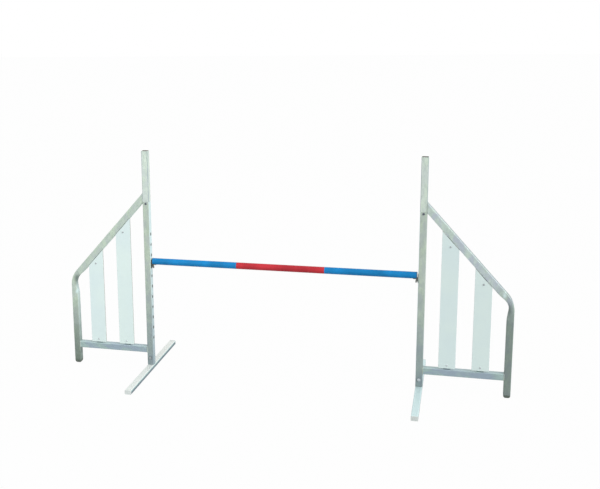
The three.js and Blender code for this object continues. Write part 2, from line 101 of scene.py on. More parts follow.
class HurdleFrameSettings(bpy.types.PropertyGroup):
    """Sizes and colours of the galvanised frame."""

    wall: length("Wall", "Thickness of the square tube's wall", 2 * MM)
    corner: length("Corner", "Radius of the tube's outside corners", 3.5 * MM)
    hole: length("Cup hole", "Diameter of a hole for a cup's pin", 8 * MM)
    hole_pitch: length("Hole pitch", "Distance from one cup hole to the next", 50 * MM)
    lowest_hole: length("Lowest hole", "Height of the lowest cup hole", 153 * MM)
    hole_count: IntProperty(name="Cup holes", description="Number of cup holes in a post", default=11)
    slope: FloatProperty(
        name="Slope",
        description="Angle of the wing's rail below level",
        default=math.radians(48.2),
        subtype="ANGLE",
    )
    bend: length("Bend", "Radius of the rail's bend, to the middle of the tube", 95 * MM)
    crush: length("Crush", "How far the inside wall of the bend is pushed in", 7 * MM)
    rim: length("Rim", "Rounding of cut ends and hole rims", 0.35 * MM)
    bead: length("Weld bead", "Radius of a weld bead", 2.2 * MM)
    pale_zinc: colour("Pale zinc", "Light patches of the zinc coat", (0.54, 0.63, 0.54))
    grey_zinc: colour("Grey zinc", "Dull patches of the zinc coat", (0.39, 0.475, 0.41))
    blue_zinc: colour("Blue zinc", "Bluish clouds of the zinc coat", (0.41, 0.45, 0.49))
    # Painted shade on the masts' upright corners and on the feet's sides; low on the posts it makes them
    # darker towards the bottom.
    dark_blue_zinc_and_shade: colour("Dark blue zinc and shade", "Zinc that has gone dull low on the posts", (0.15, 0.21, 0.275))
    # Painted shade in the crease of each wing's bend; on the legs it makes them darker towards the bottom.
    dark_green_zinc_and_shade: colour("Dark green zinc and shade", "Zinc that has gone dull and greenish on the legs", (0.10, 0.145, 0.12))
    # Painted highlight: this pale zinc stands for light on faces that look up or inward, and for bright
    # spots at the wing's bend.
    highlight_zinc: colour("Highlight zinc", "Pale zinc on faces that look up", (0.70, 0.87, 0.885))
    # Painted highlight: the palest zinc, for light on top of the left foot.
    top_highlight_zinc: colour("Top highlight zinc", "Palest zinc, on top of the left foot", (0.86, 0.88, 0.85))
    # Painted shade: this dull zinc darkens the top face of the right-hand wing, where light falls on it.
    top_shade_zinc: colour("Top shade zinc", "Dull zinc on top of the right-hand wing", (0.25, 0.30, 0.31))
    # Painted shade: near black on the tubes' inside walls, standing for the shade in them; it also colours
    # the dark rings around the cup holes.
    lining: colour("Lining", "Bare steel inside the tubes", (0.08, 0.08, 0.07))
    soil: colour("Soil", "Dust and mud near the ground", (0.20, 0.21, 0.17))


class HurdleSlatSettings(bpy.types.PropertyGroup):
    """Sizes and colours of the slats."""

    ease: length("Eased edge", "Rounding of a slat's edges", 0.9 * MM)
    lug_ease: length("Lug edge", "Rounding of a lug's edges", 0.4 * MM)
    hole: length("Screw hole", "Diameter of the holes in slats and lugs", 5.1 * MM)
    top_gap: length("Top gap", "From a slat's top edge to the rail, square to the rail", 1 * MM)
    face: colour("Face", "Main colour of the slats", (0.79, 0.93, 0.90))
    cloud: colour("Cloud", "Colour that the slats drift to in large soft patches", (0.76, 0.90, 0.90))
    cut: colour("Cut edge", "Colour of a slat's sawn edges", (0.36, 0.36, 0.30))
    scratch: colour("Scratch", "Colour of fine scratches", (0.86, 0.91, 0.90))
    rubbed_and_highlight: colour("Rubbed edge", "Colour of a slat's rubbed corners", (0.50, 0.56, 0.54))
    dust: colour("Dust", "Colour of the dust low on the slats", (0.42, 0.43, 0.36))


class HurdleFastenerSettings(bpy.types.PropertyGroup):
    """Sizes and colours of screws, bolts and nuts."""

    recess: length("Screw recess", "Across the flats of a screw's hexagonal recess", 2.8 * MM)
    screw_pitch: length("Screw pitch", "Pitch of the screws' thread", 1.6 * MM)
    screw_shank: length("Screw shank", "Outside diameter of the screws' thread", 4.5 * MM)
    screw_hole: length("Mast screw hole", "Diameter of the hole for a mast screw", 5.6 * MM)
    bolt_pitch: length("Bolt pitch", "Pitch of the foot bolt's thread", 1.25 * MM)
    bolt_shank: length("Bolt shank", "Diameter of the foot bolt", 8 * MM)
    bolt_hole: length("Bolt hole", "Diameter of the hole for a foot bolt", 8.6 * MM)
    dark: colour("Dark coat", "Colour of the masts' screws", (0.07, 0.08, 0.10))
    faded: colour("Faded coat", "Colour of the slats' screws", (0.36, 0.39, 0.40))
    bright: colour("Bright zinc", "Colour of zinc plate on bolts and nuts", (0.60, 0.64, 0.67))
    # Painted shade: the cups and pins are made this dark to stand for the shade they sit in under the bar.
    shaded: colour("Shaded zinc", "Colour of zinc plate on cups and pins", (0.17, 0.19, 0.17))
    rubbed_and_highlight: colour("Rubbed steel", "Colour of a screw's rubbed edges", (0.45, 0.46, 0.47))


class HurdlePlasticSettings(bpy.types.PropertyGroup):
    """Sizes and colours of the moulded end caps and of the bar's tube."""

    glide_rounding: length("Glide rounding", "How far a glide's sides curve in to its base", 9 * MM)
    glide: colour("Leg glide", "Colour of the caps under the legs and in the bar", (0.115, 0.15, 0.125))
    foot_cap: colour("Foot cap", "Colour of the front caps on the feet", (0.80, 0.86, 0.84))
    # Painted shade: the rear caps are a darker copy of the front caps' plastic, standing for the shade at
    # the back of the feet.
    rear_cap: colour("Rear foot cap", "Colour of the rear caps on the feet", (0.36, 0.45, 0.48))
    core: colour("Bar core", "Colour of the bar's plastic tube", (0.80, 0.82, 0.82))


class HurdleCupSettings(bpy.types.PropertyGroup):
    """Sizes of the cups that hold the bar."""

    plate: length("Plate", "Thickness of a cup's back plate", 2 * MM)
    lip: length("Lip", "Corner radius of the back plate", 8 * MM)
    clearance: length("Clearance", "How much larger the trough's radius is than the bar's", 1 * MM)
    arc: FloatProperty(
        name="Trough",
        description="Angle that the trough takes up each side of straight down",
        default=math.radians(42),
        subtype="ANGLE",
    )
    rib_reach: length("Rib", "How far a rib reaches out under the trough", 9 * MM)
    pin_bend: length("Pin bend", "Radius of a pin's bend, to its middle", 4 * MM)


class HurdleBarSettings(bpy.types.PropertyGroup):
    """Sizes and colours of the jump bar."""

    wall: length("Wall", "Thickness of the bar's plastic tube", 2.5 * MM)
    overlap_step: length("Overlap", "Height of the step where a band laps over itself", 0.15 * MM)
    blue: colour("Blue", "Colour of the outer bands", (0.012, 0.262, 0.63))
    red: colour("Red", "Colour of the middle band", (0.62, 0.041, 0.056))


class HurdleStageSettings(bpy.types.PropertyGroup):
    """Camera, lamps and floor."""

    camera_place: position("Camera place", "Where the camera stands", (0.7884, -4.072, 1.661))
    camera_shift: FloatVectorProperty(
        name="Camera shift", description="Shift of the lens, sideways and up", default=(0.1583, -0.0575),
        size=2,
    )
    yaw: FloatProperty(
        name="Yaw", description="Turn to the left", default=math.radians(15.53), subtype="ANGLE"
    )
    pitch: FloatProperty(
        name="Pitch", description="Tilt down", default=math.radians(11.83), subtype="ANGLE"
    )
    roll: FloatProperty(
        name="Roll", description="Lean of the camera", default=math.radians(-1.08), subtype="ANGLE"
    )
    focal_length: FloatProperty(
        name="Focal length", description="For a sensor 36 mm wide", default=57.43, unit="CAMERA"
    )
    ambient: FloatProperty(name="Ambient", description="Light from all round", default=0.53, min=0)
    key: FloatProperty(name="Key", description="Strength of the wide main light", default=2.2, min=0)
    key_place: position("Key place", "Where the main light comes from", (3.75, -1.4, 2.4))
    key_spread: FloatProperty(
        name="Key spread", description="How wide the main light looks from the hurdle",
        default=math.radians(50), subtype="ANGLE",
    )
    fill: FloatProperty(name="Fill", description="Power of the soft box", default=19, unit="POWER")
    fill_place: position("Fill place", "Where the soft box stands", (-1.7, -2.3, 1.9))
    fill_width: length("Fill width", "Diameter of the soft box", 1.6)
    fill_aim: length("Fill aim", "Height on the left-hand stand that the soft box faces", 0.6)
    floor: colour("Floor", "Colour of the floor", (0.50, 0.51, 0.51))


SETTINGS = {
    "hurdle_frame": HurdleFrameSettings,
    "hurdle_slats": HurdleSlatSettings,
    "hurdle_fasteners": HurdleFastenerSettings,
    "hurdle_plastic": HurdlePlasticSettings,
    "hurdle_cups": HurdleCupSettings,
    "hurdle_bar": HurdleBarSettings,
    "hurdle_stage": HurdleStageSettings,
}


# Mesh building


def smoothstep(value):
    value = min(max(value, 0.0), 1.0)
    return value * value * (3 - 2 * value)


def rounded_outline(width, height, radius, steps=6):
    """Points around a rectangle with rounded corners, centred on 0."""
    points = []
    for corner, (side_u, side_v) in enumerate(((1, 1), (-1, 1), (-1, -1), (1, -1))):
        for i in range(steps + 1):
            angle = (corner + i / steps) * math.pi / 2
            u = side_u * (width / 2 - radius) + radius * math.cos(angle)
            v = side_v * (height / 2 - radius) + radius * math.sin(angle)
            points.append((u, v))
    return points


def with_side_points(outline, count):
    """The outline, with each straight side split into count parts."""
    longest = max(math.dist(a, b) for a, b in zip(outline, outline[1:]))
    points = []
    for a, b in zip(outline, outline[1:] + outline[:1]):
        points.append(a)
        if math.dist(a, b) > 0.5 * longest:
            for i in range(1, count):
                share = i / count
                points.append((a[0] + (b[0] - a[0]) * share, a[1] + (b[1] - a[1]) * share))
    return points


def add_rings(bm, rings, closed=False):
    """Joins rings of equal point counts with quads."""
    loops = [[bm.verts.new(point) for point in ring] for ring in rings]
    following = loops[1:] + loops[:1] if closed else loops[1:]
    for near, far in zip(loops, following):
        for i in range(len(near)):
            j = (i + 1) % len(near)
            bm.faces.new((near[i], near[j], far[j], far[i]))
    return loops


def solid_through(rings):
    """A solid through rings of points, closed at both ends."""
    bm = bmesh.new()
    loops = add_rings(bm, rings)
    bm.faces.new(loops[0])
    bm.faces.new(loops[-1])
    return bm


def tube_through(outer_rings, inner_rings):
    """A hollow tube with its wall between two sets of rings, open at both ends."""
    bm = bmesh.new()
    add_rings(bm, outer_rings + inner_rings[::-1], closed=True)
    return bm


def round_ring(radius, height, sides):
    angles = (2 * math.pi * i / sides for i in range(sides))
    return [Vector((radius * math.cos(a), radius * math.sin(a), height)) for a in angles]


def turned(profile, sides=48, closed=False):
    """A turned shape about +Z from (radius, height) points, which end on the axis unless closed."""
    bm = bmesh.new()
    add_rings(bm, [round_ring(radius, height, sides) for radius, height in profile], closed)
    bmesh.ops.remove_doubles(bm, verts=bm.verts, dist=1e-3 * MM)
    return bm


def prism(outline, start, end):
    """A solid between two levels of Z, from an outline in X and Y."""
    return solid_through([[Vector((x, y, z)) for x, y in outline] for z in (start, end)])


def regular_outline(sides, flats):
    radius = flats / 2 / math.cos(math.pi / sides)
    turn = 2 * math.pi / sides
    return [
        (radius * math.cos(turn * (i + 0.5)), radius * math.sin(turn * (i + 0.5))) for i in range(sides)
    ]


TO_FRONT = Matrix.Rotation(math.pi / 2, 4, "X")  # turns +Z to the front, and keeps +X
TO_RIGHT = Matrix.Rotation(math.pi / 2, 4, "Y")  # turns +Z to the right, and keeps +Y
MIRROR = Matrix.Scale(-1, 4, (1, 0, 0))


def moved(bm, *steps):
    """The same mesh after turning or moving it by each step in order."""
    for step in steps:
        bm.transform(step if isinstance(step, Matrix) else Matrix.Translation(step))
    return bm


def drill(diameter, point, direction, reach):
    """A round cutter through a point, along X or Y."""
    turn = TO_RIGHT if direction == "X" else TO_FRONT
    rod = turned([(0, -reach), (diameter / 2, -reach), (diameter / 2, reach), (0, reach)], sides=32)
    return moved(rod, turn, Vector(point))


def merged(meshes):
    """One mesh that holds several, none of which touch."""
    whole = bmesh.new()
    for bm in meshes:
        part = bpy.data.meshes.new("part")
        bm.to_mesh(part)
        bm.free()
        whole.from_mesh(part)
        bpy.data.meshes.remove(part)
    return whole


def scratch_object(bm):
    bmesh.ops.recalc_face_normals(bm, faces=bm.faces)
    mesh = bpy.data.meshes.new("scratch")
    bm.to_mesh(mesh)
    bm.free()
    scratch = bpy.data.objects.new("scratch", mesh)
    bpy.context.scene.collection.objects.link(scratch)
    return scratch


def combined(bm, tool, operation="DIFFERENCE"):
    """The mesh after an exact boolean with a tool's shape."""
    target = scratch_object(bm)
    cutter = scratch_object(tool)
    modifier = target.modifiers.new("boolean", "BOOLEAN")
    modifier.operation = operation
    modifier.solver = "EXACT"
    modifier.object = cutter
    bpy.context.view_layer.update()
    evaluated = target.evaluated_get(bpy.context.evaluated_depsgraph_get())
    result = bmesh.new()
    result.from_mesh(evaluated.to_mesh())
    evaluated.to_mesh_clear()
    for scratch in (target, cutter):
        mesh = scratch.data
        bpy.data.objects.remove(scratch)
        bpy.data.meshes.remove(mesh)
    if not result.faces:
        raise RuntimeError(f"a boolean {operation.lower()} left nothing")
    return result


SMOOTH_ANGLE = math.radians(38)


def add_piece(name, bm, material, body, slot, stands_for=(), ease=0.0, ease_steps=2):
    """Puts a finished mesh in the scene as a named piece that rides on a body of the frame."""
    bmesh.ops.remove_doubles(bm, verts=bm.verts, dist=1e-3 * MM)
    bmesh.ops.recalc_face_normals(bm, faces=bm.faces)
    mesh = bpy.data.meshes.new(name)
    bm.to_mesh(mesh)
    bm.free()
    mesh.materials.append(material)
    mesh.shade_smooth()
    mesh.set_sharp_from_angle(angle=SMOOTH_ANGLE)
    piece = bpy.data.objects.new(name, mesh)
    bpy.context.scene.collection.objects.link(piece)
    if ease:
        bevel = piece.modifiers.new("eased edges", "BEVEL")
        bevel.width = ease
        bevel.segments = ease_steps
        bevel.limit_method = "ANGLE"
        bevel.angle_limit = SMOOTH_ANGLE
    normals = piece.modifiers.new("flat faces stay flat", "WEIGHTED_NORMAL")
    normals.keep_sharp = True
    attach(piece, body)
    if stands_for:
        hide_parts(*stands_for)
    return piece


SIDES = ("right", "left")


def add_on_both_stands(name, make, kind, slot, node=None, body="stands", **easing):
    """Adds a right-hand piece and its mirror image. Both stand for the node of their own side."""
    for side in SIDES:
        bm = make()
        if side == "left":
            moved(bm, MIRROR)
        stands_for = [f"{side}_{node}"] if node else []
        finish = finish_of(kind.format(side=side))
        add_piece(f"{side}_{name}", bm, finish, body.format(side=side), slot, stands_for, **easing)


def line_tube(name, lining):
    """Gives the inside walls of an upright tube a finish of their own, the near-black painted shade."""
    mesh = bpy.data.objects[name].data
    mesh.materials.append(lining)
    reach = HALF_TUBE - 0.9 * bpy.context.scene.hurdle_frame.wall
    for face in mesh.polygons:
        if max(abs(abs(face.center.x) - POST.middle.x), abs(face.center.y)) < reach:
            face.material_index = 1


def keep_node(node, material):
    """Leaves a node of the frame showing, with a finished material."""
    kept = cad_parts[node]
    kept.data.materials.clear()
    kept.data.materials.append(material)


# Shader nodes


class Graph:
    """Adds nodes to a shader tree and links them."""

    def __init__(self, tree):
        self.tree = tree

    def add(self, kind, inputs=None, **settings):
        node = self.tree.nodes.new(kind)
        for name, value in settings.items():
            setattr(node, name, value)
        for socket, value in (inputs or {}).items():
            self.feed(node.inputs[socket], value)
        return node

    def feed(self, socket, value):
        if isinstance(value, bpy.types.NodeSocket):
            self.tree.links.new(value, socket)
        else:
            socket.default_value = value

    def math(self, operation, *values, clamp=False):
        node = self.add("ShaderNodeMath", dict(enumerate(values)), operation=operation, use_clamp=clamp)
        return node.outputs[0]

    def scaled(self, vector, scale):
        node = self.add("ShaderNodeVectorMath", {0: vector}, operation="SCALE")
        self.feed(node.inputs["Scale"], scale)
        return node.outputs[0]

    def stretched(self, vector, by):
        node = self.add("ShaderNodeVectorMath", {0: vector, 1: by}, operation="MULTIPLY")
        return node.outputs[0]

    def noise(self, vector, detail=3.0, roughness=0.55, distortion=0.0):
        node = self.add(
            "ShaderNodeTexNoise",
            {"Vector": vector, "Scale": 1.0, "Detail": detail, "Roughness": roughness,
             "Distortion": distortion},
        )
        return node.outputs["Fac"]

    def span(self, value, start, end, low=0.0, high=1.0):
        """Maps start to end onto low to high, and holds beyond them."""
        node = self.add(
            "ShaderNodeMapRange", {0: value, 1: start, 2: end, 3: low, 4: high}, clamp=True
        )
        return node.outputs[0]

    def blend(self, share, first, second, mode="MIX"):
        node = self.add("ShaderNodeMix", data_type="RGBA", blend_type=mode, clamp_result=True)
        self.feed(node.inputs[0], share)
        self.feed(node.inputs[6], first if isinstance(first, bpy.types.NodeSocket) else (*first, 1))
        self.feed(node.inputs[7], second if isinstance(second, bpy.types.NodeSocket) else (*second, 1))
        return node.outputs[2]

    def over(self, base, mask, share, colour_over):
        """The base with a colour laid over it where a mask shows, up to a share."""
        return self.blend(self.math("MULTIPLY", mask, share), base, colour_over)

    def group(self, tree, **inputs):
        """Places a group; an input named like grain_size feeds the socket Grain Size."""
        node = self.add("ShaderNodeGroup", node_tree=tree)
        for name, value in inputs.items():
            self.feed(node.inputs[name.replace("_", " ").title()], value)
        return node.outputs


def new_group(name, inputs, outputs):
    """A shader node group with named sockets: its tree, its graph, its inputs and its output node."""
    tree = bpy.data.node_groups.new(name, "ShaderNodeTree")
    for direction, sockets in (("INPUT", inputs), ("OUTPUT", outputs)):
        for label, kind, default in sockets:
            socket = tree.interface.new_socket(label, in_out=direction, socket_type=f"NodeSocket{kind}")
            if default is not None:
                socket.default_value = default
    graph = Graph(tree)
    return tree, graph, graph.add("NodeGroupInput").outputs, graph.add("NodeGroupOutput").inputs


def make_mottling_group():
    """Zinc crystals of two sizes under a fine veil, with large soft clouds over them."""
    tree, graph, given, out = new_group(
        "Zinc Mottling",
        [("Vector", "Vector", None), ("Crystal Size", "Float", 0.01), ("Cloud Size", "Float", 0.04)],
        [("Patches", "Float", None), ("Clouds", "Float", None)],
    )
    crystal_space = graph.scaled(given["Vector"], graph.math("DIVIDE", 1.0, given["Crystal Size"]))
    wander = graph.add("ShaderNodeTexNoise", {"Vector": crystal_space, "Scale": 0.8, "Detail": 3.0})
    bent = graph.add(
        "ShaderNodeVectorMath", {0: crystal_space, 1: wander.outputs["Color"]}, operation="ADD"
    )
    tones = graph.math("MULTIPLY", graph.noise(graph.scaled(crystal_space, 0.35), detail=6.0), 0.42)
    for scale, share in ((1.0, 0.20), (2.7, 0.16)):
        cells = graph.add("ShaderNodeTexVoronoi", {"Vector": bent.outputs[0], "Scale": scale})
        cell_tone = graph.add("ShaderNodeSeparateColor", {0: cells.outputs["Color"]}).outputs[0]
        tones = graph.math("MULTIPLY_ADD", cell_tone, share, tones)
    fine = graph.noise(graph.scaled(crystal_space, 6.0), detail=3.0)
    tones = graph.math("MULTIPLY_ADD", fine, 0.22, tones)
    graph.feed(out["Patches"], graph.span(tones, 0.28, 0.72))
    cloud_space = graph.scaled(given["Vector"], graph.math("DIVIDE", 1.0, given["Cloud Size"]))
    clouds = graph.noise(cloud_space, detail=2.0, distortion=0.6)
    graph.feed(out["Clouds"], graph.span(clouds, 0.38, 0.62))
    return tree


def make_edge_wear_group():
    """A mask along worn edges, broken up by noise."""
    tree, graph, given, out = new_group(
        "Edge Wear",
        [("Vector", "Vector", None), ("Radius", "Float", 0.001), ("Amount", "Float", 1.0)],
        [("Mask", "Float", None)],
    )
    rounded = graph.add("ShaderNodeBevel", {"Radius": given["Radius"]}, samples=4)
    surface = graph.add("ShaderNodeNewGeometry")
    agreement = graph.add(
        "ShaderNodeVectorMath", {0: rounded.outputs[0], 1: surface.outputs["Normal"]},
        operation="DOT_PRODUCT",
    )
    edge = graph.span(graph.math("SUBTRACT", 1.0, agreement.outputs["Value"]), 0.02, 0.22)
    broken = graph.span(graph.noise(graph.scaled(given["Vector"], 160.0), detail=4.0), 0.38, 0.62)
    mask = graph.math("MULTIPLY", graph.math("MULTIPLY", edge, broken), given["Amount"], clamp=True)
    graph.feed(out["Mask"], mask)
    return tree


def make_grain_group():
    """Fine grain and long hair scratches, as a height and as a mask."""
    tree, graph, given, out = new_group(
        "Fine Grain",
        [("Vector", "Vector", None), ("Grain Size", "Float", 0.001)],
        [("Height", "Float", None), ("Scratches", "Float", None), ("Drift", "Float", None)],
    )
    grain_space = graph.scaled(given["Vector"], graph.math("DIVIDE", 1.0, given["Grain Size"]))
    graph.feed(out["Height"], graph.noise(grain_space, detail=5.0, roughness=0.6))
    lines = graph.noise(graph.stretched(given["Vector"], (900.0, 900.0, 22.0)), detail=2.0)
    crossing = graph.noise(graph.stretched(given["Vector"], (40.0, 700.0, 900.0)), detail=2.0)
    scratches = graph.math("MAXIMUM", graph.span(lines, 0.66, 0.74), graph.span(crossing, 0.69, 0.76))
    graph.feed(out["Scratches"], scratches)
    graph.feed(out["Drift"], graph.noise(graph.scaled(given["Vector"], 14.0), detail=3.0))
    return tree


def make_soil_group():
    """A mask of splashes and dust that fades out above the ground."""
    tree, graph, given, out = new_group(
        "Ground Soil",
        [("Vector", "Vector", None), ("Reach", "Float", 0.2)],
        [("Mask", "Float", None)],
    )
    height = graph.add("ShaderNodeSeparateXYZ", {0: given["Vector"]}).outputs[2]
    splash = graph.noise(graph.scaled(given["Vector"], 70.0), detail=5.0, roughness=0.65)
    fade = graph.math("DIVIDE", height, given["Reach"])
    level = graph.math("SUBTRACT", splash, graph.math("MULTIPLY", fade, 0.5))
    graph.feed(out["Mask"], graph.span(level, 0.34, 0.66))
    return tree


def make_fade_group():
    """A mask that grows from one height down to another, a little ragged."""
    tree, graph, given, out = new_group(
        "Height Fade",
        [("Vector", "Vector", None), ("Top", "Float", 0.5), ("Bottom", "Float", 0.0)],
        [("Mask", "Float", None)],
    )
    height = graph.add("ShaderNodeSeparateXYZ", {0: given["Vector"]}).outputs[2]
    ragged = graph.math("SUBTRACT", graph.noise(graph.scaled(given["Vector"], 30.0)), 0.5)
    depth = graph.math("SUBTRACT", given["Top"], given["Bottom"])
    offset = graph.math("MULTIPLY", graph.math("MULTIPLY", ragged, 0.6), depth)
    graph.feed(out["Mask"], graph.span(graph.math("ADD", height, offset), given["Top"], given["Bottom"]))
    return tree


def make_facing_group():
    """Masks for faces that look up, look across X, look towards the bar, or round an upright corner."""
    tree, graph, given, out = new_group(
        "Facing",
        [("Vector", "Vector", None), ("Normal", "Vector", None)],
        [(label, "Float", None) for label in ("Up", "Sideways", "Inward", "Corner")],
    )
    x, y, z = graph.add("ShaderNodeSeparateXYZ", {0: given["Normal"]}).outputs
    x_share, y_share = graph.math("MULTIPLY", x, x), graph.math("MULTIPLY", y, y)
    side = graph.math("SIGN", graph.add("ShaderNodeSeparateXYZ", {0: given["Vector"]}).outputs[0])
    graph.feed(out["Up"], graph.span(z, 0.4, 0.6))
    graph.feed(out["Sideways"], graph.span(y_share, 0.5, 0.2))
    graph.feed(out["Inward"], graph.span(graph.math("MULTIPLY", x, side), -0.5, -0.8))
    graph.feed(out["Corner"], graph.span(graph.math("MULTIPLY", x_share, y_share), 0.05, 0.22))
    return tree


GROUP_MAKERS = {
    "mottling": make_mottling_group,
    "fade": make_fade_group,
    "facing": make_facing_group,
    "wear": make_edge_wear_group,
    "grain": make_grain_group,
    "soil": make_soil_group,
}
groups = {}
materials = {}


def shared(kind):
    if kind not in groups:
        groups[kind] = GROUP_MAKERS[kind]()
    return groups[kind]


def new_material(name, **principled):
    """A material with its Principled shader, and the object's own coordinates for its textures."""
    material = bpy.data.materials.new(name)
    material.use_nodes = True
    graph = Graph(material.node_tree)
    shader = material.node_tree.nodes["Principled BSDF"]
    for socket, value in principled.items():
        shader.inputs[socket.replace("_", " ")].default_value = value
    vector = graph.add("ShaderNodeTexCoord").outputs["Object"]
    return material, graph, shader.inputs, vector


def facing(graph, vector):
    """Masks for the way a face looks, in the object's own directions."""
    normal = graph.add("ShaderNodeTexCoord").outputs["Normal"]
    return graph.group(shared("facing"), vector=vector, normal=normal)


def add_bump(graph, inputs, height, depth):
    bump = graph.add("ShaderNodeBump", {"Height": height, "Distance": depth, "Strength": 1.0})
    graph.feed(inputs["Normal"], bump.outputs[0])


def pin_wear(graph, vector):
    """Grime and rubbing around the cup holes, on the posts' inner walls."""
    settings = bpy.context.scene.hurdle_frame
    x, y, z = graph.add("ShaderNodeSeparateXYZ", {0: vector}).outputs
    steps = graph.math("DIVIDE", graph.math("SUBTRACT", z, settings.lowest_hole), settings.hole_pitch)
    nearest = graph.math("MINIMUM", graph.math("ROUND", steps), settings.hole_count - 1.0)
    nearest = graph.math("MAXIMUM", nearest, 0.0)
    rise = graph.math("MULTIPLY", graph.math("SUBTRACT", steps, nearest), settings.hole_pitch)
    radius = graph.math("SQRT", graph.math("ADD", graph.math("MULTIPLY", rise, rise),
                                           graph.math("MULTIPLY", y, y)))
    uneven = graph.math("MULTIPLY_ADD", graph.noise(graph.scaled(vector, 220.0)), 3 * MM, radius)
    ring = graph.span(uneven, 1.45 * settings.hole, 0.88 * settings.hole)
    inner_wall = graph.math("LESS_THAN", graph.math("ABSOLUTE", x), POST.middle.x - 0.9 * HALF_TUBE)
    return graph.math("MULTIPLY", ring, inner_wall)


def bend_patch(graph, vector, along, across, size):
    """A mask around a point of the wing rail's bend, on either stand, for painted shade and highlights.

    along is the distance past the middle of the bend, and across runs from the rail's middle inwards.
    """
    settings = bpy.context.scene.hurdle_frame
    point, inward = BentRail(settings.slope, settings.bend).at(along)
    folded = graph.add("ShaderNodeVectorMath", {0: vector}, operation="ABSOLUTE").outputs[0]
    offset = graph.add(
        "ShaderNodeVectorMath", {0: folded, 1: point + across * inward}, operation="SUBTRACT"
    ).outputs[0]
    squeezed = graph.stretched(offset, (1.4, 0.4, 0.7))
    away = graph.add("ShaderNodeVectorMath", {0: squeezed}, operation="LENGTH").outputs["Value"]
    uneven = graph.math("MULTIPLY_ADD", graph.noise(graph.scaled(vector, 90.0)), 0.4 * size, away)
    return graph.span(uneven, 1.2 * size, 0.5 * size)


RUBBED_SHARE = 0.6  # how far a worn edge goes to its bare colour
PIN_GRIME_SHARE = 0.85


def zinc(name, along="Z", crystal=9 * MM, roughness=0.46, tint=(1, 1, 1), cloud_share=0.55,
         darkening=None, tops=None, inside_highlight=0.0, corner_shade=0.0, patches=(), soiling=0.25,
         worn_by_pins=False, rough_bump=0.12):
    """Hot-dip zinc: crystals, bluish clouds and brighter worn edges, with what a piece adds to them.

    along is the way the tube runs, and its crystals are drawn out that way.
    darkening is (top, bottom, share, colour): the heights where it starts and is full, and how strong; the
    piece grows darker downwards.
    tops is (share, colour): how far faces that look up go to another colour; it paints a highlight on the
    rail's and feet's tops and shade on the right wing's top.
    inside_highlight and corner_shade are shares: of a painted highlight on the inner faces, and of a
    painted shade line at upright corners.
    patches are (along, across, size, share, colour): painted shade and painted highlights on the wing
    rail's bend.
    rough_bump is the depth of the relief in millimetres.
    """
    settings = bpy.context.scene.hurdle_frame
    material, graph, inputs, vector = new_material(name)
    drawn_out = {"X": (0.5, 1, 1), "Y": (1, 0.5, 1), "Z": (1, 1, 0.5)}[along]
    mottling = graph.group(
        shared("mottling"), vector=graph.stretched(vector, drawn_out), crystal_size=crystal,
        cloud_size=32 * MM,
    )
    grain = graph.group(shared("grain"), vector=vector, grain_size=1.2 * MM)
    wear = graph.group(shared("wear"), vector=vector, radius=1.5 * MM, amount=0.3)
    soil = graph.group(shared("soil"), vector=vector, reach=0.25)
    turned_to = facing(graph, vector)

    def tinted(shade):
        return tuple(min(0.9, share * value) for share, value in zip(tint, shade))

    coat = graph.blend(mottling["Patches"], tinted(settings.grey_zinc), tinted(settings.pale_zinc))
    coat = graph.over(coat, mottling["Clouds"], cloud_share, tinted(settings.blue_zinc))
    coat = graph.over(coat, grain["Scratches"], 0.25, tinted(settings.pale_zinc))
    # Painted light on faces that look up: a highlight on the rail and feet, shade on the right-hand wing.
    if tops:
        coat = graph.over(coat, turned_to["Up"], *tops)
    # Painted highlight on faces that look inward, towards the bar.
    if inside_highlight:
        coat = graph.over(coat, turned_to["Inward"], inside_highlight, settings.highlight_zinc)
    # Painted shade: a dark line where the upright faces round into each other.
    if corner_shade:
        coat = graph.over(coat, turned_to["Corner"], corner_shade, settings.dark_blue_zinc_and_shade)
    # Darker towards the bottom, up to a share.
    if darkening:
        top, bottom, share, shade = darkening
        fade = graph.group(shared("fade"), vector=vector, top=top, bottom=bottom)["Mask"]
        coat = graph.over(coat, fade, share, shade)
    # Painted shade and painted highlights at the wing rail's bend.
    for along_bend, across, size, share, shade in patches:
        coat = graph.over(coat, bend_patch(graph, vector, along_bend, across, size), share, shade)
    coat = graph.over(coat, wear["Mask"], RUBBED_SHARE, tinted(settings.pale_zinc))
    coat = graph.over(coat, soil["Mask"], soiling, settings.soil)
    if worn_by_pins:
        coat = graph.over(coat, pin_wear(graph, vector), PIN_GRIME_SHARE, settings.lining)
    graph.feed(inputs["Base Color"], coat)
    dull = graph.span(mottling["Patches"], 0.0, 1.0, roughness + 0.10, roughness - 0.06)
    graph.feed(inputs["Roughness"], graph.math("MULTIPLY_ADD", soil["Mask"], soiling, dull, clamp=True))
    metal = graph.math("MULTIPLY_ADD", mottling["Patches"], 0.12, 0.24)
    metal = graph.math("MULTIPLY_ADD", soil["Mask"], -0.8 * soiling, metal, clamp=True)
    graph.feed(inputs["Metallic"], metal)
    fine = graph.math("MULTIPLY", grain["Height"], 0.4)
    relief = graph.math("MULTIPLY_ADD", mottling["Patches"], 0.6, fine)
    add_bump(graph, inputs, relief, rough_bump * MM)
    return material


def mast_zinc():
    # The dark lines at the mast's upright corners are painted shade.
    return zinc("mast zinc", tint=(1.36, 1.34, 1.36), cloud_share=0.35, corner_shade=0.7)


def post_zinc():
    """The posts grow darker downwards, get a painted highlight on their inner faces, and are dirty around
    their cup holes.
    """
    dark_blue_zinc_and_shade = bpy.context.scene.hurdle_frame.dark_blue_zinc_and_shade
    return zinc(
        "post zinc", tint=(1.05, 1.07, 1.02), darkening=(0.52, 0.0, 0.72, dark_blue_zinc_and_shade), inside_highlight=0.8,
        worn_by_pins=True,
    )


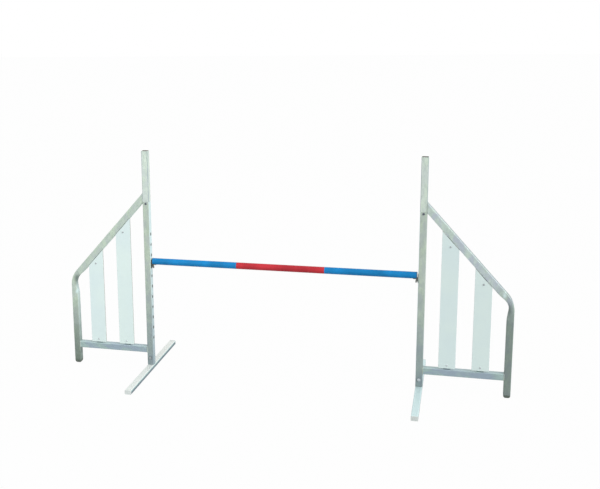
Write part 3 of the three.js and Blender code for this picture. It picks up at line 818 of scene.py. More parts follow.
def left_wing_zinc():
    settings = bpy.context.scene.hurdle_frame
    # Painted shade in the bend's crease, a painted highlight just below the bend and on the inner faces;
    # the wing also grows darker towards the bottom.
    crease_shade = (CRUSH_MIDDLE - 6 * MM, 13 * MM, 30 * MM, 0.85, settings.dark_green_zinc_and_shade)
    rubbed_and_highlight = (CRUSH_MIDDLE + 56 * MM, 9 * MM, 11 * MM, 0.95, settings.highlight_zinc)
    return zinc(
        "left wing zinc", tint=(1.12, 1.15, 1.10), darkening=(0.38, 0.0, 0.90, settings.dark_green_zinc_and_shade),
        inside_highlight=0.5, patches=(crease_shade, rubbed_and_highlight),
    )


def right_wing_zinc():
    settings = bpy.context.scene.hurdle_frame
    # Painted shade on the top face and in the bend, and a painted highlight just before the bend; the leg
    # grows darker from the bend down.
    crease_shade = (CRUSH_MIDDLE + 18 * MM, 8 * MM, 26 * MM, 0.6, settings.dark_green_zinc_and_shade)
    rubbed_and_highlight = (CRUSH_MIDDLE - 52 * MM, -2 * MM, 14 * MM, 0.9, settings.highlight_zinc)
    return zinc(
        "right wing zinc", tint=(1.18, 1.20, 1.26), cloud_share=0.8, tops=(0.6, settings.top_shade_zinc),
        darkening=(0.50, 0.34, 0.72, settings.dark_green_zinc_and_shade), patches=(crease_shade, rubbed_and_highlight),
    )


def rail_zinc():
    # Painted highlight: the bottom rail's top face is made paler.
    highlight_zinc = bpy.context.scene.hurdle_frame.highlight_zinc
    return zinc(
        "bottom rail zinc", "X", tint=(0.78, 0.89, 1.0), cloud_share=0.85, tops=(0.3, highlight_zinc)
    )


def foot_zinc(side):
    """The feet get a painted highlight on top and painted shade on their sides."""
    settings = bpy.context.scene.hurdle_frame
    foot = Extent("right_cross_foot")
    shade = tuple(0.6 * value for value in settings.dark_blue_zinc_and_shade)
    darkening = (foot.high.z - 0.1 * foot.size.z, foot.middle.z, 0.92, shade)
    # The left and right feet take different top colours, both painted highlight.
    top = {"left": settings.top_highlight_zinc, "right": settings.highlight_zinc}[side]
    return zinc(
        f"{side} foot zinc", "Y", crystal=16 * MM, tint=(1.12, 1.32, 1.40), cloud_share=0.3,
        tops=(0.9, top), darkening=darkening, soiling=0.04, rough_bump=0.02,
    )


def weld_metal():
    return zinc("galvanised weld", crystal=3 * MM, roughness=0.5, rough_bump=0.25)


def tube_inside_shade():
    """Painted shade inside the tubes: near-black walls, with a faint rust tint in drifting patches."""
    lining = bpy.context.scene.hurdle_frame.lining
    material, graph, inputs, vector = new_material("painted shade inside tubes")
    grain = graph.group(shared("grain"), vector=vector, grain_size=1.5 * MM)
    rust = tuple(share * value for share, value in zip((1.7, 1.2, 0.9), lining))
    coat = graph.blend(graph.span(grain["Drift"], 0.35, 0.65), lining, rust)
    graph.feed(inputs["Base Color"], coat)
    graph.feed(inputs["Roughness"], graph.span(grain["Height"], 0.3, 0.7, 0.6, 0.8))
    graph.feed(inputs["Metallic"], graph.span(grain["Drift"], 0.35, 0.65, 0.5, 0.2))
    add_bump(graph, inputs, grain["Height"], 0.08 * MM)
    return material


def zinc_plate(name, shade, roughness):
    """Electroplated zinc, duller in patches and bright on its edges."""
    body = getattr(bpy.context.scene.hurdle_fasteners, shade)
    material, graph, inputs, vector = new_material(name)
    mottling = graph.group(shared("mottling"), vector=vector, crystal_size=4 * MM, cloud_size=12 * MM)
    grain = graph.group(shared("grain"), vector=vector, grain_size=0.5 * MM)
    wear = graph.group(shared("wear"), vector=vector, radius=0.8 * MM, amount=0.6)
    dull = tuple(0.62 * value for value in body)
    edge = tuple(0.55 * value + 0.40 for value in body)
    coat = graph.blend(graph.span(mottling["Patches"], 0, 1, 0.45, 1.0), dull, body)
    graph.feed(inputs["Base Color"], graph.over(coat, wear["Mask"], RUBBED_SHARE, edge))
    uneven = graph.span(grain["Drift"], 0.3, 0.7, roughness - 0.08, roughness + 0.08)
    graph.feed(inputs["Roughness"], uneven)
    graph.feed(inputs["Metallic"], graph.span(grain["Scratches"], 0, 1, 0.92, 0.80))
    add_bump(graph, inputs, grain["Height"], 0.03 * MM)
    return material


def screw_coat(name, shade):
    """Coated steel of a screw, worn bright on its edges."""
    settings = bpy.context.scene.hurdle_fasteners
    body = getattr(settings, shade)
    material, graph, inputs, vector = new_material(name)
    grain = graph.group(shared("grain"), vector=vector, grain_size=0.4 * MM)
    wear = graph.group(shared("wear"), vector=vector, radius=0.5 * MM, amount=0.8)
    light = tuple(min(1.0, 1.9 * value) for value in body)
    coat = graph.blend(graph.span(grain["Drift"], 0.35, 0.7), body, light)
    graph.feed(inputs["Base Color"], graph.blend(wear["Mask"], coat, settings.rubbed_and_highlight))
    graph.feed(inputs["Roughness"], graph.span(grain["Height"], 0.3, 0.7, 0.34, 0.52))
    graph.feed(inputs["Metallic"], graph.span(wear["Mask"], 0, 1, 0.65, 0.95))
    add_bump(graph, inputs, grain["Height"], 0.02 * MM)
    return material


def slat_board():
    """Satin plastic board, faintly clouded, with handling scratches and dust low down."""
    settings = bpy.context.scene.hurdle_slats
    material, graph, inputs, vector = new_material("slat board", Coat_Roughness=0.25)
    grain = graph.group(shared("grain"), vector=vector, grain_size=0.6 * MM)
    wear = graph.group(shared("wear"), vector=vector, radius=1.2 * MM, amount=0.7)
    soil = graph.group(shared("soil"), vector=vector, reach=0.22)
    cloud = graph.noise(graph.scaled(vector, 6.0), detail=2.0)
    coat = graph.blend(graph.span(cloud, 0.35, 0.68), settings.face, settings.cloud)
    coat = graph.over(coat, grain["Scratches"], 0.22, settings.scratch)
    coat = graph.over(coat, facing(graph, vector)["Sideways"], 0.8, settings.cut)
    coat = graph.over(coat, wear["Mask"], RUBBED_SHARE, settings.rubbed_and_highlight)
    coat = graph.over(coat, soil["Mask"], 0.12, settings.dust)
    graph.feed(inputs["Base Color"], coat)
    satin = graph.span(grain["Drift"], 0.3, 0.7, 0.34, 0.46)
    satin = graph.math("MULTIPLY_ADD", grain["Scratches"], 0.18, satin, clamp=True)
    graph.feed(inputs["Roughness"], satin)
    graph.feed(inputs["Coat Weight"], graph.span(grain["Drift"], 0.3, 0.7, 0.18, 0.05))
    add_bump(graph, inputs, grain["Height"], 0.025 * MM)
    return material


def moulded(name, shade, scuffed, roughness, soil_share):
    """Moulded plastic with a spark-eroded grain, scuffed on its edges."""
    body = getattr(bpy.context.scene.hurdle_plastic, shade)
    material, graph, inputs, vector = new_material(name)
    grain = graph.group(shared("grain"), vector=vector, grain_size=0.7 * MM)
    wear = graph.group(shared("wear"), vector=vector, radius=1.2 * MM, amount=0.7)
    soil = graph.group(shared("soil"), vector=vector, reach=0.08)
    deep = tuple(0.78 * value for value in body)
    coat = graph.blend(graph.span(grain["Drift"], 0.3, 0.7), deep, body)
    coat = graph.blend(wear["Mask"], coat, scuffed)
    coat = graph.over(coat, soil["Mask"], soil_share, bpy.context.scene.hurdle_frame.soil)
    graph.feed(inputs["Base Color"], coat)
    uneven = graph.span(grain["Height"], 0.3, 0.7, roughness - 0.07, roughness + 0.1)
    graph.feed(inputs["Roughness"], uneven)
    add_bump(graph, inputs, grain["Height"], 0.06 * MM)
    return material


def band_tape(name, shade):
    """Satin tape around the bar: worn in places, with fine creases along it."""
    body = getattr(bpy.context.scene.hurdle_bar, shade)
    material, graph, inputs, vector = new_material(name, Specular_IOR_Level=0.12, Coat_Roughness=0.3)
    grain = graph.group(shared("grain"), vector=vector, grain_size=0.9 * MM)
    wear = graph.group(shared("wear"), vector=vector, radius=0.5 * MM, amount=0.5)
    creases = graph.noise(graph.stretched(vector, (30.0, 420.0, 420.0)), detail=3.0)
    deep = tuple(0.72 * value for value in body)
    faded = tuple(value + 0.05 * (1 - value) for value in body)
    coat = graph.blend(graph.span(grain["Drift"], 0.32, 0.68), deep, body)
    coat = graph.over(coat, grain["Scratches"], 0.35, faded)
    graph.feed(inputs["Base Color"], graph.blend(wear["Mask"], coat, faded))
    satin = graph.span(grain["Drift"], 0.3, 0.7, 0.38, 0.50)
    satin = graph.math("MULTIPLY_ADD", grain["Scratches"], 0.2, satin, clamp=True)
    graph.feed(inputs["Roughness"], satin)
    graph.feed(inputs["Coat Weight"], graph.span(creases, 0.3, 0.7, 0.06, 0.0))
    add_bump(graph, inputs, creases, 0.05 * MM)
    return material


DARK_SCUFF = (0.30, 0.32, 0.30)

FINISHES = {
    "mast": (mast_zinc,),
    "post": (post_zinc,),
    "left_wing": (left_wing_zinc,),
    "right_wing": (right_wing_zinc,),
    "rail": (rail_zinc,),
    "left_foot": (foot_zinc, "left"),
    "right_foot": (foot_zinc, "right"),
    "weld": (weld_metal,),
    "lining": (tube_inside_shade,),
    "bright": (zinc_plate, "bright zinc plate", "bright", 0.30),
    # Used only for the left bolt, as painted shade.
    "faded": (zinc_plate, "left bolt shade zinc plate", "faded", 0.40),
    # The cups and pins take a dark zinc as painted shade.
    "shaded": (zinc_plate, "shaded zinc plate", "shaded", 0.42),
    "mast_screw": (screw_coat, "blackened screw", "dark"),
    "slat_screw": (screw_coat, "faded screw", "faded"),
    "slat": (slat_board,),
    # what follows a colour is its scuffed colour, its roughness and its share of soil
    "glide": (moulded, "leg glide plastic", "glide", DARK_SCUFF, 0.55, 0.5),
    "bar_cap": (moulded, "bar cap plastic", "glide", DARK_SCUFF, 0.45, 0.0),
    "front_cap": (moulded, "pale cap plastic", "foot_cap", (0.86, 0.88, 0.87), 0.45, 0.05),
    # The rear caps' darker colour is painted shade.
    "rear_cap": (moulded, "rear cap shade plastic", "rear_cap", (0.55, 0.60, 0.60), 0.5, 0.2),
    "bar_core": (moulded, "bar core plastic", "core", (0.9, 0.9, 0.9), 0.4, 0.0),
    "blue": (band_tape, "blue band", "blue"),
    "red": (band_tape, "red band", "red"),
}
# The left bolt takes the dimmer faded zinc as painted shade; the right bolt and the nuts keep the bright
# zinc.
SAME_FINISH = {"left_bolt": "faded", "right_bolt": "bright"}


def finish_of(kind):
    """The material of a finish, made when a piece first asks for it."""
    kind = SAME_FINISH.get(kind, kind)
    if kind not in materials:
        maker, *values = FINISHES[kind]
        materials[kind] = maker(*values)
    return materials[kind]


# Tubes


def tube_outlines(width, height):
    """The outside and inside outlines of a square tube."""
    settings = bpy.context.scene.hurdle_frame
    wall, corner = settings.wall, settings.corner
    return (
        rounded_outline(width, height, corner),
        rounded_outline(width - 2 * wall, height - 2 * wall, corner - wall),
    )


def straight_tube(extent, axis):
    """A straight square tube that fills an extent. Its outline lies across the axis."""
    across = {"X": ("y", "z"), "Y": ("x", "z"), "Z": ("x", "y")}[axis]
    width, height = (getattr(extent.size, letter) for letter in across)

    def ring(outline, at):
        points = []
        for u, v in outline:
            point = extent.middle.copy()
            setattr(point, across[0], getattr(point, across[0]) + u)
            setattr(point, across[1], getattr(point, across[1]) + v)
            setattr(point, axis.lower(), at)
            points.append(point)
        return points

    ends = [getattr(corner, axis.lower()) for corner in (extent.low, extent.high)]
    outer, inner = ([ring(outline, at) for at in ends] for outline in tube_outlines(width, height))
    return tube_through(outer, inner)


def lower_post():
    """The post's tube, with its cup holes and the holes for the mast screw and the foot bolt."""
    settings = bpy.context.scene.hurdle_frame
    fasteners = bpy.context.scene.hurdle_fasteners
    holes = []
    for i in range(settings.hole_count):
        height = settings.lowest_hole + i * settings.hole_pitch
        holes.append(drill(settings.hole, (POST.low.x, 0, height), "X", HALF_TUBE))
    screw = Extent("right_mast_screw").middle
    holes.append(drill(fasteners.screw_hole, (screw.x, FRONT, screw.z), "Y", HALF_TUBE))
    bolt = Extent("right_foot_nut").middle
    holes.append(drill(fasteners.bolt_hole, (bolt.x, 0, bolt.z), "Y", TUBE))
    return combined(straight_tube(POST, "Z"), merged(holes))


def mast():
    return straight_tube(MAST, "Z")


class BentRail:
    """The middle line of the wing's rail: down its slope, round the bend and down the leg."""

    def __init__(self, slope, radius):
        self.slope = slope
        self.radius = radius
        self.turn = math.pi / 2 - slope
        self.arc = radius * self.turn
        setback = radius * math.tan(self.turn / 2)
        half_height = HALF_TUBE / math.cos(slope)
        start_height = WING.high.z - half_height
        corner_height = start_height - (LEG_X - WING.low.x) * math.tan(slope)
        self.down_slope = Vector((math.cos(slope), 0, -math.sin(slope)))
        self.bend_start = Vector((LEG_X, 0, corner_height)) - setback * self.down_slope
        self.bend_end = Vector((LEG_X, 0, corner_height - setback))
        self.centre = self.bend_start + radius * self.inward(slope)

    @staticmethod
    def inward(angle):
        """Square to the rail where it runs at an angle below level, towards the bend's centre."""
        return Vector((-math.sin(angle), 0, -math.cos(angle)))

    def at(self, distance):
        """The point at a distance past the middle of the bend, and the inward direction there."""
        half = self.arc / 2
        if distance <= -half:
            return self.bend_start + (distance + half) * self.down_slope, self.inward(self.slope)
        if distance >= half:
            return self.bend_end - (distance - half) * Vector((0, 0, 1)), self.inward(math.pi / 2)
        inward = self.inward(self.slope + (distance + half) / self.radius)
        return self.centre - self.radius * inward, inward


CRUSH_MIDDLE = 10 * MM  # past the middle of the bend, towards the leg
CRUSH_REACH = 76 * MM
CRUSH_NARROWING = 0.16  # how much closer the side walls come at the crushed wall
CRUSH_DENT = 2.4 * MM  # hollow along the middle of the crushed wall
CRUSH_BULGE = 0.7 * MM


def crush_share(distance):
    """How crushed the tube is at a distance past the middle of the bend, from 0 to 1."""
    offset = (distance - CRUSH_MIDDLE) / CRUSH_REACH
    return math.cos(min(abs(offset), 1) * math.pi / 2) ** 2


def crushed(u, v, share, depth):
    """Where a point of the tube's section goes when the wall at -u is pushed in."""
    inside = smoothstep((0.25 * HALF_TUBE - u) / (1.25 * HALF_TUBE)) * share
    hollow = CRUSH_DENT * inside * (1 - min(1, abs(v) / HALF_TUBE) ** 2)
    bulge = CRUSH_BULGE * share * math.cos(min(1, abs(u) / HALF_TUBE) * math.pi / 2)
    narrowed = v * (1 - CRUSH_NARROWING * inside)
    return u + depth * inside + hollow, narrowed + math.copysign(bulge, v) * min(1, abs(v) / HALF_TUBE)


def wing_tube():
    """The bent tube of a wing, crushed on the inside of its bend."""
    settings = bpy.context.scene.hurdle_frame
    rail = BentRail(settings.slope, settings.bend)
    step = 4 * MM
    count = round(2 * CRUSH_REACH / step)
    stations = [CRUSH_MIDDLE - CRUSH_REACH + i * step for i in range(count + 1)]

    def ring(outline, distance):
        point, inward = rail.at(distance)
        share = crush_share(distance)
        ring_points = []
        for u, v in outline:
            across, side = crushed(u, v, share, settings.crush)
            ring_points.append(point - across * inward + Vector((0, side, 0)))
        return ring_points

    def end_rings(outline):
        """Where the rail meets the post, cut upright, and where the leg ends, cut level."""
        top = []
        for point in ring(outline, stations[0]):
            travel = (WING.low.x - point.x) / rail.down_slope.x
            top.append(point + travel * rail.down_slope)
        foot = [Vector((p.x, p.y, WING.low.z)) for p in ring(outline, stations[-1])]
        return top, foot

    shells = []
    for outline in tube_outlines(TUBE, TUBE):
        fine = with_side_points(outline, 8)
        top, foot = end_rings(fine)
        shells.append([top] + [ring(fine, distance) for distance in stations] + [foot])
    return tube_through(*shells)


# Weld beads

RIPPLE = 1.7 * MM


def bead_along(points, normal, radius, closed, seed):
    """A rippled weld bead along a path that lies in the plane with this normal."""
    draw = random.Random(seed)
    spacing = 0.35 * RIPPLE
    path = []
    following = points[1:] + (points[:1] if closed else [])
    for start, end in zip(points, following):
        count = max(1, round((end - start).length / spacing))
        path.extend(start.lerp(end, i / count) for i in range(count))
    if not closed:
        path.append(points[-1])
    rings = []
    travelled = 0.0
    for i, point in enumerate(path):
        last = path[i - 1] if i or closed else point
        after = path[(i + 1) % len(path)] if closed or i + 1 < len(path) else point
        travelled += (point - last).length
        side = (after - last).normalized().cross(normal)
        swell = radius * (0.84 + 0.16 * abs(math.sin(math.pi * travelled / RIPPLE)))
        swell *= 1 + 0.05 * draw.uniform(-1, 1)
        if not closed:
            swell *= 0.35 + 0.65 * smoothstep(min(i, len(path) - 1 - i) / 4)
        turns = (2 * math.pi * k / 12 for k in range(12))
        rings.append([point + swell * (math.cos(a) * side + math.sin(a) * normal) for a in turns])
    if not closed:
        return solid_through(rings)
    bm = bmesh.new()
    add_rings(bm, rings, closed=True)
    return bm


def bead_round(centre, width, height, seed):
    """A bead around the end of a tube that meets an upright face square to X."""
    settings = bpy.context.scene.hurdle_frame
    sunk = 0.35 * settings.bead
    outline = rounded_outline(width - 2 * sunk, height - 2 * sunk, settings.corner, steps=4)
    points = [centre + Vector((0, u, v)) for u, v in outline]
    return bead_along(points, Vector((1, 0, 0)), settings.bead, True, seed)


def wing_rail_bead():
    height = TUBE / math.cos(bpy.context.scene.hurdle_frame.slope)
    centre = Vector((WING.low.x, 0, WING.high.z - height / 2))
    return bead_round(centre, TUBE, height, 1)


def bottom_rail_bead(end):
    centre = Vector((getattr(BOTTOM_RAIL, end).x, 0, BOTTOM_RAIL.middle.z))
    return bead_round(centre, TUBE, TUBE, 2 if end == "low" else 3)


def lug_bead(lug, upper):
    """A bead along the back of a lug, where it meets its rail."""
    settings = bpy.context.scene.hurdle_frame
    radius = 0.8 * settings.bead
    margin = 3 * MM
    drop = math.tan(settings.slope) if upper else 0.0
    depth = lug.high.y + 0.3 * radius
    ends = []
    for x in (lug.low.x + margin, lug.high.x - margin):
        z = lug.high.z - (x - lug.low.x) * drop if upper else lug.low.z
        ends.append(Vector((x, depth, z)))
    return bead_along(ends, Vector((0, 1, 0)), radius, False, round(1000 * lug.middle.x))


# Slats and lugs

SLAT_PLACES = ("inner", "outer")
ENDS = ("upper", "lower")


def sloping_plate(extent, top_gap):
    """A plate that fills an extent across X and Y, with its top edge along the wing's rail."""
    settings = bpy.context.scene.hurdle_frame
    half_height = HALF_TUBE / math.cos(settings.slope)

    def top_at(x):
        axis = WING.high.z - half_height - (x - WING.low.x) * math.tan(settings.slope)
        return axis - half_height - top_gap / math.cos(settings.slope)

    left, right = extent.low.x, extent.high.x
    corners = [(left, extent.low.z), (right, extent.low.z), (right, top_at(right)), (left, top_at(left))]
    return solid_through([[Vector((x, y, z)) for x, z in corners] for y in (extent.low.y, extent.high.y)])


def level_plate(extent):
    low, high = extent.low, extent.high
    outline = rounded_outline(extent.size.x, extent.size.z, 2 * MM, steps=4)
    middle = extent.middle
    return solid_through(
        [[Vector((middle.x + u, y, middle.z + v)) for u, v in outline] for y in (low.y, high.y)]
    )


def screw_holes(place, ends, diameter):
    middles = [Extent(f"right_{place}_slat_screw_{end}").middle for end in ends]
    return merged([drill(diameter, (spot.x, FRONT, spot.z), "Y", TUBE) for spot in middles])


def slat(place):
    settings = bpy.context.scene.hurdle_slats
    board = sloping_plate(Extent(f"right_{place}_slat"), settings.top_gap)
    return combined(board, screw_holes(place, ENDS, settings.hole))


def lug(place, end):
    extent = Extent(f"right_{place}_slat_lug_{end}")
    plate = sloping_plate(extent, SEAT_GAP) if end == "upper" else level_plate(extent)
    return combined(plate, screw_holes(place, [end], bpy.context.scene.hurdle_slats.hole))


# Fasteners

THREAD_SIDES = 24


def thread_rings(crest, root, pitch, start, end, point_length=0.0):
    """Rings of a screw thread about +Z, from start down to end, where it may run to a point."""
    step = pitch / 8
    count = round((start - end) / step)
    rings = []
    for i in range(count + 1):
        height = start - (start - end) * i / count
        taper = smoothstep((height - end) / point_length) if point_length else 1.0
        ring = []
        for k in range(THREAD_SIDES):
            phase = (height / pitch + k / THREAD_SIDES) % 1
            ridge = max(0.0, 1 - 2.6 * abs(phase - 0.5))
            radius = (root + (crest - root) * ridge) * max(taper, 0.04)
            angle = 2 * math.pi * k / THREAD_SIDES
            ring.append(Vector((radius * math.cos(angle), radius * math.sin(angle), height)))
        rings.append(ring)
    return rings


def thread_ring(radius, height):
    return round_ring(radius, height, THREAD_SIDES)


def screw(node):
    """A round-headed screw with a hexagonal recess, driven in from the front."""
    settings = bpy.context.scene.hurdle_fasteners
    extent = Extent(node)
    seat = FRONT - SEAT_GAP
    head_height = seat - extent.low.y
    head_radius = extent.size.x / 2
    shank = settings.screw_shank / 2
    rings = []
    dome_steps = 8
    rim = 0.18 * head_height
    for i in range(dome_steps + 1):
        angle = i / dome_steps * math.pi / 2
        rings.append(thread_ring(max(head_radius * math.sin(angle), 0.02 * MM),
                                 rim + (head_height - rim) * math.cos(angle)))
    rings.append(thread_ring(head_radius, 0.3 * rim))
    rings.append(thread_ring(head_radius - 0.4 * rim, 0))
    rings.append(thread_ring(shank, 0))
    rings += thread_rings(shank, 0.78 * shank, settings.screw_pitch, -0.6 * MM,
                          seat - extent.high.y, 2 * shank)
    recess = prism(regular_outline(6, settings.recess), 0.35 * head_height, 2 * head_height)
    body = combined(solid_through(rings), recess)
    return moved(body, TO_FRONT, Vector((extent.middle.x, seat, extent.middle.z)))


def chamfered_hexagon(flats, start, end, chamfer_start, chamfer_end):
    """A hexagonal head or nut about +Z, with its corners turned off at either end."""
    corner = flats / 2 / math.cos(math.pi / 6)
    trim = corner - 0.47 * flats
    first = trim if chamfer_start else 0
    last = trim if chamfer_end else 0
    profile = [(0, start), (corner - first, start), (corner, start + 0.5 * first)]
    profile += [(corner, end - 0.5 * last), (corner - last, end), (0, end)]
    hexagon = prism(regular_outline(6, flats), start - 1 * MM, end + 1 * MM)
    return combined(hexagon, turned(profile, sides=96), "INTERSECT")


def foot_bolt():
    settings = bpy.context.scene.hurdle_fasteners
    extent = Extent("right_foot_bolt")
    nut = Extent("right_foot_nut")
    head_face = FRONT - SEAT_GAP
    head_height = head_face - extent.low.y
    radius = settings.bolt_shank / 2
    head = chamfered_hexagon(extent.size.x, 0, head_height, False, True)
    tip = head_face - extent.high.y
    thread_start = head_face - nut.low.y + 4 * MM
    rings = [thread_ring(radius, 0.5 * head_height), thread_ring(radius, thread_start + 0.5 * MM)]
    rings += thread_rings(radius, 0.86 * radius, settings.bolt_pitch, thread_start, tip + 0.7 * MM)
    rings.append(thread_ring(0.76 * radius, tip))
    body = combined(head, solid_through(rings), "UNION")
    return moved(body, TO_FRONT, Vector((extent.middle.x, head_face, nut.middle.z)))


def foot_nut():
    settings = bpy.context.scene.hurdle_fasteners
    extent = Extent("right_foot_nut")
    body = chamfered_hexagon(extent.size.x, 0, extent.size.y, True, True)
    radius = settings.bolt_shank / 2 + SEAT_GAP
    start, end = -1 * MM, extent.size.y + 1 * MM
    bore = turned([(0, start), (radius, start), (radius, end), (0, end)], sides=32)
    back = Vector((extent.middle.x, extent.high.y, extent.middle.z))
    return moved(combined(body, bore), TO_FRONT, back)


# End caps

FIN_PITCH = 4 * MM
FIN_DEPTH = 1.2 * MM
FIN = ((FIN_DEPTH, 0.0), (FIN_DEPTH, 0.55), (0.0, 0.6), (0.0, 0.85), (FIN_DEPTH, 1.0))  # inset, rise


def rounded_levels(width, height, edge, rise, steps):
    """(width, height, corner radius, level) of outlines that curve out from a cap's outer face."""
    corner = bpy.context.scene.hurdle_frame.corner
    levels = []
    for i in range(steps + 1):
        angle = i / steps * math.pi / 2
        inset = 2 * edge * (1 - math.sin(angle))
        levels.append((width - inset, height - inset, corner, rise * (1 - math.cos(angle))))
    return levels


def plug_levels(width, height, start, end):
    """Outlines of the same kind, for the finned plug that holds a cap in its tube."""
    settings = bpy.context.scene.hurdle_frame
    clear = 2 * settings.wall + 2 * SEAT_GAP
    levels = []
    level = start
    while level < end - FIN_PITCH:
        for inset, rise in FIN:
            across = clear + inset
            corner = settings.corner - settings.wall
            levels.append((width - across, height - across, corner, level + rise * FIN_PITCH))
        level += FIN_PITCH
    return levels


def cap(levels):
    rings = []
    for width, height, corner, level in levels:
        rings.append([Vector((u, v, level)) for u, v in rounded_outline(width, height, corner)])
    return solid_through(rings)


def leg_glide():
    """The rounded plastic cap that the leg stands on."""
    extent = Extent("right_leg_cap")
    top = WING.low.z - SEAT_GAP
    rounding = bpy.context.scene.hurdle_plastic.glide_rounding
    levels = rounded_levels(TUBE, TUBE, rounding, top, 12)
    levels += plug_levels(TUBE, TUBE, top, extent.high.z)
    return moved(cap(levels), Vector((extent.middle.x, 0, 0)))


def foot_plug(end):
    """The cap in one end of the cross foot."""
    extent = Extent(f"right_foot_cap_{end}")
    foot = Extent("right_cross_foot")
    flange = foot.low.y - SEAT_GAP - Extent("right_foot_cap_front").low.y
    width, height = foot.size.x, foot.size.z
    edge = 0.9 * MM
    levels = rounded_levels(width, height, edge, edge, 4)
    levels.append((width, height, bpy.context.scene.hurdle_frame.corner, flange))
    levels += plug_levels(width, height, flange, extent.size.y)
    turn = Matrix.Rotation(-math.pi / 2, 4, "X") if end == "front" else TO_FRONT
    face = extent.low.y if end == "front" else extent.high.y
    return moved(cap(levels), turn, Vector((foot.middle.x, face, foot.middle.z)))


# Cups and pins


def cup():
    """A back plate with a trough for the bar, and two ribs under it beside the pin."""
    settings = bpy.context.scene.hurdle_cups
    extent = Extent("right_cup")
    pin = Extent("right_cup_pin")
    bar = Extent("bar_wrap_2_red")
    rod = pin.size.y / 2
    pin_height = pin.high.z - rod
    face, front = extent.high.x, extent.high.x - settings.plate
    outline = rounded_outline(extent.size.y, extent.size.z, settings.lip, steps=10)
    plate = solid_through(
        [[Vector((x, u, extent.middle.z + v)) for u, v in outline] for x in (front, face)]
    )

    radius = bar.size.z / 2 + settings.clearance
    axis_height = bar.middle.z + settings.clearance - SEAT_GAP
    thickness = settings.plate
    steps = 20
    angles = [-math.pi / 2 + settings.arc * (2 * i / steps - 1) for i in range(steps + 1)]
    band = [((radius + thickness) * math.cos(a), (radius + thickness) * math.sin(a)) for a in angles]
    band += [(radius * math.cos(a), radius * math.sin(a)) for a in reversed(angles)]
    trough = solid_through(
        [[Vector((x, u, axis_height + v)) for u, v in band] for x in (extent.low.x, front + thickness / 2)]
    )
    solid = combined(plate, trough, "UNION")

    rib_middle = rod + 1 * MM + thickness / 2
    underside = axis_height - math.sqrt((radius + thickness / 2) ** 2 - rib_middle ** 2)
    low = extent.low.z + settings.lip / 2
    inside = front + settings.plate / 2
    corners = [(inside, low), (front, low), (front - settings.rib_reach, underside), (inside, underside)]
    ribs = []
    for side in (-rib_middle, rib_middle):
        faces = (side - thickness / 2, side + thickness / 2)
        ribs.append(solid_through([[Vector((x, y, z)) for x, z in corners] for y in faces]))
    solid = combined(solid, merged(ribs), "UNION")
    return combined(solid, drill(2 * rod + 2 * SEAT_GAP, (face, 0, pin_height), "X", 2 * settings.plate))


def rod_rings(path, radius, steps):
    """Rings along a path in the plane y = 0, each square to it, with a small chamfer at both ends."""
    chamfer = 0.8 * MM
    rings = []
    last = len(path) - 1
    for i, point in enumerate(path):
        heading = (path[min(i + 1, last)] - path[max(i - 1, 0)]).normalized()
        side = Vector((0, 1, 0)).cross(heading)
        turns = [2 * math.pi * k / steps for k in range(steps)]
        full = [point + radius * (math.cos(a) * side + math.sin(a) * Vector((0, 1, 0))) for a in turns]
        if i in (0, last):
            inward = heading if i == 0 else -heading
            small = [point + (1 - chamfer / radius) * (corner - point) for corner in full]
            pulled = [corner + chamfer * inward for corner in full]
            rings += [small, pulled] if i == 0 else [pulled, small]
        else:
            rings.append(full)
    return rings


def cup_pin():
    """The bent rod that locks a cup to its post."""
    extent = Extent("right_cup_pin")
    radius = extent.size.y / 2
    height = extent.high.z - radius
    tail_x = extent.low.x + radius
    bend = bpy.context.scene.hurdle_cups.pin_bend
    path = [Vector((extent.high.x, 0, height))]
    steps = 12
    for i in range(steps + 1):
        angle = i / steps * math.pi / 2
        x = tail_x + bend * (1 - math.sin(angle))
        z = height - bend * (1 - math.cos(angle))
        path.append(Vector((x, 0, z)))
    path.append(Vector((tail_x, 0, extent.low.z)))
    return solid_through(rod_rings(path, radius, 28))


# Bar

BAR_SIDES = 64


def bar_tube():
    extent = Extent("bar_tube")
    radius = extent.size.z / 2
    inside = radius - bpy.context.scene.hurdle_bar.wall
    half = extent.size.x / 2
    profile = [(inside, -half), (radius, -half), (radius, half), (inside, half)]
    return moved(turned(profile, BAR_SIDES, closed=True), TO_RIGHT, extent.middle)


def band(node):
    """A coloured band around the bar, lapped over itself along its back."""
    extent = Extent(node)
    radius = extent.size.z / 2
    inside = Extent("bar_tube").size.z / 2 + 0.5 * SEAT_GAP
    lap = bpy.context.scene.hurdle_bar.overlap_step
    lap_start = 0.12 * math.pi
    stations = 40
    outer, inner = [], []
    for i in range(stations + 1):
        x = extent.low.x + extent.size.x * i / stations
        outside_ring, inside_ring = [], []
        for k in range(BAR_SIDES):
            angle = 2 * math.pi * k / BAR_SIDES
            lapped = math.pi / 4 < angle < math.pi / 4 + lap_start
            swell = 0 if lapped else -lap
            for ring, size in ((outside_ring, radius + swell), (inside_ring, inside)):
                ring.append(Vector((x, size * math.sin(angle), extent.middle.z + size * math.cos(angle))))
        outer.append(outside_ring)
        inner.append(inside_ring)
    return tube_through(outer, inner)


